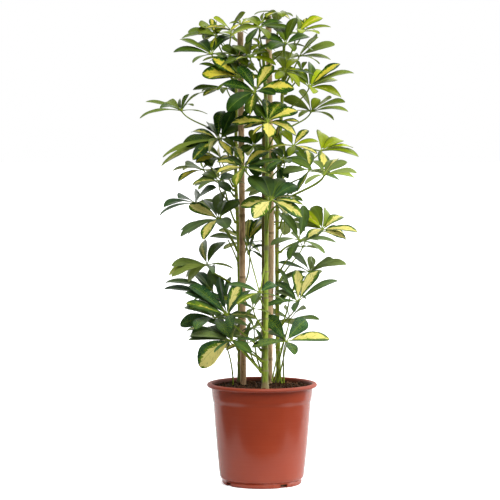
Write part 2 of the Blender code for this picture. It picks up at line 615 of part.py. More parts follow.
def settle(leaf, placed):
    """The first of a leaf's small shifts in depth and bow that stands clear."""
    best = None
    for (aside, below), (lean, bow), shift in itertools.product(nudges, leans, shifts):
        column, row, depth = leaf[3]
        place = (column + aside, row + below, depth + shift)
        moved = leaf[:3] + (place,) + leaf[4:]
        axis = (Vector(leaf[4]) + Vector((lean, 0, 0))).normalized()
        hub = readPlace(*place)
        sheet = leafSheet(moved, hub, axis, random.Random(leaf[0]))
        stalk = petiolePoints(moved, hub, axis, bow)
        found = clashes(sheet, stalk, placed)
        if best is None or found < best[0]:
            best = (found, sheet, stalk, (aside, below), lean, bow, shift)
        if not found:
            break
    return best


placed = []
for leaf in leaves:
    found, sheet, stalk, *change = settle(leaf, placed)
    print("settled", leaf[0], "clashes", found, "change", *change)
    verts, faces = prism(stalk[1:], 0.0028)
    placed.append((BVHTree.FromPolygons(*sheet), BVHTree.FromPolygons(verts, faces)))
    mesh = bpy.data.meshes.new("sheet")
    mesh.from_pydata(sheet[0], [], sheet[1])
    star = bpy.data.objects.new("sheet", mesh)
    bpy.context.scene.collection.objects.link(star)
    solid = star.modifiers.new("Solidify", "SOLIDIFY")
    solid.thickness = bladeThickness
    solid.offset = 0
    star = meshOf(star)
    radii = [petioleBase, petioleBase * 0.95] + [petioleBase + (petioleEnd - petioleBase) * step / 4
                                                  for step in range(1, 5)]
    run = tube(stalk, radii, 4)
    body = combine(star, [run], "UNION", "MANIFOLD")
    finish(body, "leaf_" + leaf[0], "leaf", 50)
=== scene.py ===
# Potted dwarf umbrella tree: three stems on three canes in a nursery pot.
import itertools
import math
import random

import bpy
import numpy as np
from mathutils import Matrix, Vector
from mathutils.bvhtree import BVHTree


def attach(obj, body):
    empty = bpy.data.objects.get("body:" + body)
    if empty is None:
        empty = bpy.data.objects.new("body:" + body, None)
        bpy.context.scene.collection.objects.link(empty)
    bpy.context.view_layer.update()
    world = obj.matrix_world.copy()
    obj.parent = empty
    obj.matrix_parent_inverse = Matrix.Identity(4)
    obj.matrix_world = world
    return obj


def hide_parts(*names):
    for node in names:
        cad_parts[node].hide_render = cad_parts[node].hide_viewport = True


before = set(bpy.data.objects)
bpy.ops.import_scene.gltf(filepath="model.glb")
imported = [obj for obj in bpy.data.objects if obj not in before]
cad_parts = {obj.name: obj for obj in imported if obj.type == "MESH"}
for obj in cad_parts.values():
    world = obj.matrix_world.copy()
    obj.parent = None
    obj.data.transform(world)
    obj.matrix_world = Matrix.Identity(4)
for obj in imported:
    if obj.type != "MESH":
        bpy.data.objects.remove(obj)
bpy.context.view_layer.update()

print("frame: nodes", len(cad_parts))

# The front view: metres a column or row at the pot's axis, and the eye it is read from.
frontView = {"step": 0.002186, "eyeHeight": 0.82, "eyeDistance": 5.0, "axisColumn": 262.0,
             "eyeRow": 109.5, "frameSize": 500}


# A place is the eye's height and axis plus columns and rows, widened by depth over eye distance.
def readPlace(column, row, depth):
    spread = frontView["step"] * (1 + depth / frontView["eyeDistance"])
    return Vector(((column - frontView["axisColumn"]) * spread, depth,
                   frontView["eyeHeight"] - (row - frontView["eyeRow"]) * spread))


# The column and row of points: the same sum turned round.
def frontPlace(points):
    spread = frontView["step"] * (1 + points[..., 1] / frontView["eyeDistance"])
    columns = frontView["axisColumn"] + points[..., 0] / spread
    rows = frontView["eyeRow"] + (frontView["eyeHeight"] - points[..., 2]) / spread
    return columns, rows


# Smooth step: share * share * (3 - 2 * share), the share being how far a value lies from low to high.
def smoothStep(low, high, value):
    share = np.clip((value - low) / (high - low), 0, 1)
    return share * share * (3 - 2 * share)


# Angles at even steps round a full turn.
def fullTurn(count):
    return np.arange(count) * 2 * math.pi / count


# Length along a polyline at each of its points.
def lengthAlong(points):
    return np.concatenate([[0], np.cumsum(np.linalg.norm(np.diff(points, axis=0), axis=1))])


# A profile of radius and height, turned round the upright axis.
def turnedRings(profile, angle):
    return np.stack([profile[:, :1] * np.cos(angle), profile[:, :1] * np.sin(angle),
                     np.broadcast_to(profile[:, 1:], (len(profile), len(angle)))], -1)


# Start point, rings and end point of every run, one after the other.
def packRuns(rings, starts, ends):
    runs = len(rings)
    return np.concatenate([starts[:, None], rings.reshape(runs, -1, rings.shape[-1]), ends[:, None]],
                          axis=1).reshape(-1, rings.shape[-1])


# Closed bodies: quads between neighbouring rings and a fan at each end. Rings are (run, row, turn, xyz).
# The map gives run n the cell n: turns go across the cell and rows go up it.
def closedRuns(rings, starts, ends, cells, place=None, look=None, underTurns=None):
    runs, rows, turns = rings.shape[:3]
    base = (np.arange(runs) * (rows * turns + 2))[:, None, None]
    index = base + 1 + np.arange(rows)[None, :, None] * turns + np.arange(turns)
    after = np.roll(index, -1, axis=2)
    quads = np.stack([index[:, :-1], after[:, :-1], after[:, 1:], index[:, 1:]], -1)
    starting = np.broadcast_to(base[:, 0], (runs, turns))
    ending = starting + rows * turns + 1
    fans = np.stack([np.stack([starting, after[:, 0], index[:, 0]], -1),
                     np.stack([ending, index[:, -1], after[:, -1]], -1)], 1)
    left = np.arange(turns) / turns
    right = left + 1 / turns
    rise = (np.arange(rows) + 1) / (rows + 1)
    low, high = np.broadcast_arrays(rise[:-1, None], left)[0], np.broadcast_arrays(rise[1:, None], left)[0]
    wide = np.broadcast_to(left, low.shape), np.broadcast_to(right, low.shape)
    quadMap = np.stack([np.stack([wide[0], low], -1), np.stack([wide[1], low], -1),
                        np.stack([wide[1], high], -1), np.stack([wide[0], high], -1)], -2)
    middle = (left + right) / 2
    flat = np.ones(turns)
    fanMap = np.stack([
        np.stack([np.stack([middle, 0 * flat], -1), np.stack([right, rise[0] * flat], -1),
                  np.stack([left, rise[0] * flat], -1)], -2),
        np.stack([np.stack([middle, flat], -1), np.stack([left, rise[-1] * flat], -1),
                  np.stack([right, rise[-1] * flat], -1)], -2)], 0)
    corner = cells[:, None, None, None, :2]
    size = cells[:, None, None, None, 2:]
    under = np.zeros(turns) if underTurns is None else underTurns
    return {
        "points": packRuns(rings, starts, ends),
        "quads": quads.reshape(-1, 4), "fans": fans.reshape(-1, 3),
        "quadMap": (corner + size * quadMap[None]).reshape(-1, 2),
        "fanMap": (corner + size * fanMap[None]).reshape(-1, 2),
        "quadUnder": np.broadcast_to(under, quads.shape[:3]).ravel(),
        "fanUnder": np.broadcast_to(under, fans.shape[:3]).ravel(),
        "place": packRuns(*place) if place else None,
        "look": packRuns(*look) if look else None,
    }


# Equal cells of the unit square, with a narrow border each: (left, low, width, height).
def mapCells(count, columns, border=0.006):
    rows = math.ceil(count / columns)
    spot = np.arange(count)
    return np.stack([spot % columns / columns + border, spot // columns / rows + border,
                     np.full(count, 1 / columns - 2 * border), np.full(count, 1 / rows - 2 * border)], 1)


# One mesh object from several sets of closed runs; every set faces outwards by its own volume.
def makePiece(name, parts, material, sharpAngle=50):
    points, faces, corners, under, start = [], [], [], [], 0
    for part in parts:
        p = part["points"]
        tris = np.concatenate([part["quads"][:, [0, 1, 2]], part["quads"][:, [0, 2, 3]], part["fans"]])
        volume = np.einsum("ij,ij->i", p[tris[:, 0]], np.cross(p[tris[:, 1]], p[tris[:, 2]])).sum()
        for shape, mapping, below in (("quads", "quadMap", "quadUnder"), ("fans", "fanMap", "fanUnder")):
            face = part[shape] + start
            uv = part[mapping].reshape(*face.shape, 2)
            if volume < 0:
                face, uv = face[:, ::-1], uv[:, ::-1]
            faces += face.tolist()
            corners.append(uv.reshape(-1, 2))
            under.append(part[below])
        points.append(p)
        start += len(p)
    mesh = bpy.data.meshes.new(name)
    mesh.from_pydata(np.concatenate(points).tolist(), [], faces)
    layer = mesh.uv_layers.new(name="OFBake")
    layer.uv.foreach_set("vector", np.concatenate(corners).astype(np.float32).ravel())
    for key in ("place", "look"):
        if parts[0][key] is not None:
            values = np.concatenate([part[key] for part in parts]).astype(np.float32)
            mesh.attributes.new(key, "FLOAT_VECTOR", "POINT").data.foreach_set("vector", values.ravel())
    if np.concatenate(under).any():
        values = np.concatenate(under).astype(np.float32)
        mesh.attributes.new("under", "FLOAT", "FACE").data.foreach_set("value", values)
    mesh.shade_smooth()
    mesh.set_sharp_from_angle(angle=math.radians(sharpAngle))
    mesh.materials.append(material)
    piece = bpy.data.objects.new(name, mesh)
    bpy.context.scene.collection.objects.link(piece)
    return piece


# Rings round a path: centre + radius * (side * cos + up * sin), side being square to the path and
# to a fixed direction.
def pathRings(path, radii, turns, fixed):
    ahead = np.gradient(path, axis=0)
    ahead /= np.linalg.norm(ahead, axis=1)[:, None]
    side = np.cross(ahead, fixed)
    side /= np.linalg.norm(side, axis=1)[:, None]
    up = np.cross(ahead, side)
    angle = fullTurn(turns)
    ray = side[:, None] * np.cos(angle)[:, None] + up[:, None] * np.sin(angle)[:, None]
    return path[:, None] + ray * (radii if np.ndim(radii) == 2 else radii[:, None])[..., None]


# Points at even spacing along a polyline, each the mean of its neighbours within a window.
def evenPath(corners, values, spacing, window):
    corners = np.array(corners, float)
    reach = lengthAlong(corners)
    count = int(reach[-1] / spacing) + 1
    at = np.linspace(0, reach[-1], count)
    path = np.stack([np.interp(at, reach, corners[:, k]) for k in range(3)], 1)
    width = int(window / spacing / 2)
    kernel = np.ones(2 * width + 1) / (2 * width + 1)
    before = path[0] - (path[1] - path[0]) * np.arange(width, 0, -1)[:, None]
    beyond = path[-1] + (path[-1] - path[-2]) * np.arange(1, width + 1)[:, None]
    padded = np.concatenate([before, path, beyond])
    path = np.stack([np.convolve(padded[:, k], kernel, "valid") for k in range(3)], 1)
    return path, at, np.interp(at, reach, values)


# A smooth uneven field: the mean of many sine waves of random heading and phase.
def waveField(seed, x, y, longest, shortest, waves=24):
    draw = np.random.default_rng(seed)
    length = longest * (shortest / longest) ** draw.uniform(0, 1, waves)
    heading = draw.uniform(0, 2 * math.pi, waves)
    phase = draw.uniform(0, 2 * math.pi, waves)
    turn = 2 * math.pi / length
    angle = x[..., None] * np.cos(heading) * turn + y[..., None] * np.sin(heading) * turn + phase
    return (np.sin(angle) * (length / longest) ** 0.5).mean(-1)


# A shader node, with its inputs linked to sockets or set to values.
def addNode(tree, kind, inputs=(), **settings):
    made = tree.nodes.new("ShaderNode" + kind)
    for name, value in settings.items():
        setattr(made, name, value)
    for key, value in dict(inputs).items():
        if isinstance(value, bpy.types.NodeSocket):
            tree.links.new(value, made.inputs[key])
        else:
            made.inputs[key].default_value = value
    return made


# A number worked out by a math node.
def calc(tree, operation, first, second=0.0, third=0.0):
    return addNode(tree, "Math", {0: first, 1: second, 2: third}, operation=operation).outputs[0]


# A value spread from one range to another, eased at both ends.
def ranged(tree, value, low, high, toLow=0.0, toHigh=1.0):
    made = addNode(tree, "MapRange", {0: value, 1: low, 2: high, 3: toLow, 4: toHigh},
                   interpolation_type="SMOOTHSTEP")
    return made.outputs[0]


# Two colours mixed: the first where the share is 0, the second where it is 1.
def blend(tree, share, first, second, way="MIX"):
    made = addNode(tree, "Mix", data_type="RGBA", blend_type=way)
    for key, value in ((0, share), (6, first), (7, second)):
        if isinstance(value, bpy.types.NodeSocket):
            tree.links.new(value, made.inputs[key])
        else:
            made.inputs[key].default_value = value if key == 0 else (*value, 1)
    return made.outputs[2]


# Fractal noise of a vector.
def noise(tree, vector, scale, detail=3.0, roughness=0.55):
    return addNode(tree, "TexNoise", {"Vector": vector, "Scale": scale, "Detail": detail,
                                      "Roughness": roughness}).outputs["Fac"]


# The X, Y and Z of a vector.
def splitVector(tree, vector):
    return addNode(tree, "SeparateXYZ", {0: vector}).outputs


# A vector from its x, y and z.
def joinVector(tree, x, y, z):
    return addNode(tree, "CombineXYZ", {0: x, 1: y, 2: z}).outputs[0]


# Coordinates scaled for a pattern: x and y by one number, z by another.
def stretched(tree, coordinates, across, upward):
    x, y, z = splitVector(tree, coordinates)
    return joinVector(tree, calc(tree, "MULTIPLY", x, across), calc(tree, "MULTIPLY", y, across),
                      calc(tree, "MULTIPLY", z, upward))


# A mesh attribute by its name.
def attribute(tree, name):
    return addNode(tree, "Attribute", attribute_name=name)


# A material with its shader, and the Object coordinates for its patterns.
def startMaterial(name, **sockets):
    made = bpy.data.materials.new(name)
    made.use_nodes = True
    tree = made.node_tree
    shader = tree.nodes["Principled BSDF"]
    for key, value in sockets.items():
        shader.inputs[key.replace("_", " ")].default_value = value
    coordinates = addNode(tree, "TexCoord").outputs["Object"]
    return made, tree, shader, coordinates


# Colour, roughness and a bump from a height, linked to the shader.
def finishMaterial(tree, shader, colour, roughness, height, distance, strength=1.0):
    bump = addNode(tree, "Bump", {"Height": height, "Distance": distance, "Strength": strength})
    tree.links.new(colour, shader.inputs["Base Color"])
    tree.links.new(roughness, shader.inputs["Roughness"])
    tree.links.new(bump.outputs[0], shader.inputs["Normal"])


# Camera, floor and light. The camera sees the floor as paper. Other rays meet its bounce, which is dark
# in front of the pot and far aside. Panels: place, width, height and power.
camera = {"sensor": 36.0}
studio = {
    "floorSize": 60.0, "floorDrop": 0.0004, "floorGlow": 0.6, "paperGrain": 3.0,
    "paper": ((0.92, 0.92, 0.92), (0.94, 0.94, 0.94)), "bounce": ((0.16, 0.16, 0.16), (0.80, 0.80, 0.80)),
    "bounceFront": (-0.30, -0.26), "bounceSide": (0.41, 0.51), "bounceSpread": 1.1,
    "surround": {"front": 0.11, "back": 0.85, "side": 0.05, "top": 0.14}, "backdrop": 1.0,
    "glowDepth": (0.25, 0.75), "glowSide": (0.45, 0.9), "glowTop": (0.25, 0.9),
    "sunStrength": 3.5, "sunAngle": 48, "sunTurn": (38, 0, 26), "panelAim": (0, 0, 0.5),
    "panels": [((1.9, 0.3, 0.8), 0.9, 1.8, 26), ((-1.35, 1.7, 0.7), 1.5, 1.8, 13),
               ((1.35, 1.7, 0.7), 1.5, 1.8, 8), ((0.4, 2.2, 2.0), 2.0, 1.5, 14)],
}


# A camera at the eye of the front view, aimed at the middle of its frame.
def makeCamera():
    across = (frontView["frameSize"] / 2 - frontView["axisColumn"]) * frontView["step"]
    down = (frontView["frameSize"] / 2 - frontView["eyeRow"]) * frontView["step"]
    eye = Vector((across, -frontView["eyeDistance"], frontView["eyeHeight"]))
    look = Vector((0, frontView["eyeDistance"], -down))
    made = bpy.data.objects.new("camera", bpy.data.cameras.new("camera"))
    bpy.context.scene.collection.objects.link(made)
    made.location = eye
    made.rotation_euler = look.to_track_quat("-Z", "Y").to_euler()
    made.data.sensor_width = camera["sensor"]
    made.data.lens = camera["sensor"] * look.length / (frontView["frameSize"] * frontView["step"])
    bpy.context.scene.camera = made


# A wide pale floor. Its bounce dims where depth is below a span, and where the distance aside, less the
# spread times the depth behind the axis, is past another.
def makeFloor():
    half = studio["floorSize"] / 2
    mesh = bpy.data.meshes.new("floor")
    mesh.from_pydata([(-half, -half, 0), (half, -half, 0), (half, half, 0), (-half, half, 0)], [],
                     [(0, 1, 2, 3)])
    floor = bpy.data.objects.new("floor", mesh)
    bpy.context.scene.collection.objects.link(floor)
    floor.location.z = -studio["floorDrop"]
    made, tree, shader, coordinates = startMaterial("floor_paper", Roughness=0.9, Specular_IOR_Level=0.1)
    seen = addNode(tree, "LightPath").outputs["Is Camera Ray"]
    x, y, z = splitVector(tree, coordinates)
    lit = ranged(tree, y, *studio["bounceFront"])
    aside = calc(tree, "MULTIPLY_ADD", calc(tree, "MAXIMUM", y, 0.0), -studio["bounceSpread"],
                 calc(tree, "ABSOLUTE", x))
    lit = calc(tree, "MULTIPLY", lit, ranged(tree, aside, *studio["bounceSide"], 1.0, 0.0))
    lit = blend(tree, lit, *studio["bounce"])
    paper = blend(tree, noise(tree, coordinates, studio["paperGrain"]), *studio["paper"])
    tree.links.new(blend(tree, seen, lit, paper), shader.inputs["Base Color"])
    shader.inputs["Emission Color"].default_value = (1, 1, 1, 1)
    tree.links.new(calc(tree, "MULTIPLY", seen, studio["floorGlow"]), shader.inputs["Emission Strength"])
    mesh.materials.append(made)


# One soft sun, and panels at one side and behind, each aimed at the plant.
def makeLamps():
    scene = bpy.context.scene
    sun = bpy.data.lights.new("sun", "SUN")
    sun.energy = studio["sunStrength"]
    sun.angle = math.radians(studio["sunAngle"])
    lamp = bpy.data.objects.new("sun", sun)
    lamp.rotation_euler = [math.radians(turn) for turn in studio["sunTurn"]]
    scene.collection.objects.link(lamp)
    for spot, (place, width, height, power) in enumerate(studio["panels"]):
        panel = bpy.data.lights.new(f"panel_{spot}", "AREA")
        panel.shape = "RECTANGLE"
        panel.size = width
        panel.size_y = height
        panel.energy = power
        lamp = bpy.data.objects.new(f"panel_{spot}", panel)
        lamp.location = place
        aim = Vector(studio["panelAim"]) - Vector(place)
        lamp.rotation_euler = aim.to_track_quat("-Z", "Y").to_euler()
        scene.collection.objects.link(lamp)


# A plain backdrop for the camera, and for other rays a glow that grows with depth, aside and upward.
def makeSurround():
    scene = bpy.context.scene
    world = bpy.data.worlds.new("surround")
    scene.world = world
    world.use_nodes = True
    tree = world.node_tree
    tree.nodes.clear()
    seen = addNode(tree, "LightPath").outputs["Is Camera Ray"]
    x, y, z = splitVector(tree, addNode(tree, "TexCoord").outputs["Generated"])
    glow = studio["surround"]
    strength = ranged(tree, y, *studio["glowDepth"], glow["front"], glow["back"])
    sideways = ranged(tree, calc(tree, "ABSOLUTE", x), *studio["glowSide"], 0.0, glow["side"])
    above = ranged(tree, z, *studio["glowTop"], 0.0, glow["top"])
    strength = calc(tree, "ADD", strength, calc(tree, "ADD", sideways, above))
    strength = addNode(tree, "Mix", {0: seen, 2: strength, 3: studio["backdrop"]}).outputs[0]
    light = addNode(tree, "Background", {"Color": (1, 1, 1, 1), "Strength": strength})
    end = tree.nodes.new("ShaderNodeOutputWorld")
    tree.links.new(light.outputs[0], end.inputs[0])
    scene.view_settings.view_transform = "Standard"


makeCamera()
makeFloor()
makeLamps()
makeSurround()
print("camera, floor and light")


# What the CAD source reads: stems, canes and leaves. Stem rows: column, row, depth and radius.
gap = 0.0003
stemFoot = 0.150
stemUpright = 0.216
caneFoot = 0.080
caneStraight = 0.20
caneEase = 0.06
petioleFoot = 0.196
soilTop = 0.2125
tieRow = 302
stemRows = {
    "front": [(265.0, 387, -0.060, 0.0068), (265.4, 350, -0.056, 0.0056), (266.0, 300, -0.050, 0.0050),
              (266.3, 250, -0.045, 0.0047), (266.6, 200, -0.040, 0.0045), (267.0, 150, -0.036, 0.0042),
              (266.0, 105, -0.030, 0.0039), (264.0, 70, -0.025, 0.0035), (262.5, 46, -0.020, 0.0030)],
    "left": [(239.5, 381, 0.072, 0.0046), (239.7, 340, 0.069, 0.0042), (239.6, 300, 0.064, 0.0041),
             (239.0, 260, 0.060, 0.0040), (237.6, 215, 0.056, 0.0039), (235.8, 180, 0.052, 0.0038),
             (236.0, 140, 0.049, 0.0036), (237.0, 100, 0.045, 0.0034), (235.0, 52, 0.035, 0.0029)],
    "right": [(279.0, 382, 0.056, 0.0056), (278.0, 340, 0.052, 0.0048), (277.3, 300, 0.047, 0.0044),
              (277.0, 250, 0.045, 0.0043), (277.4, 210, 0.044, 0.0041), (279.0, 160, 0.040, 0.0039),
              (281.0, 120, 0.036, 0.0037), (283.0, 80, 0.030, 0.0034), (284.0, 44, 0.022, 0.0029)],
}
caneRows = {
    "left": [(243.4, 384, 0.020), (242.0, 205, 0.010), (240.4, 33, 0.000)],
    "right": [(269.6, 383, 0.030), (271.4, 220, 0.024), (268.2, 17, 0.010)],
    "middle": [(264.4, 380, 0.079), (264.6, 250, 0.073), (265.0, 104, 0.062)],
}
soilFeet = {"left_01": (233.0, 383, 0.030), "right_01": (284.0, 382, 0.040)}

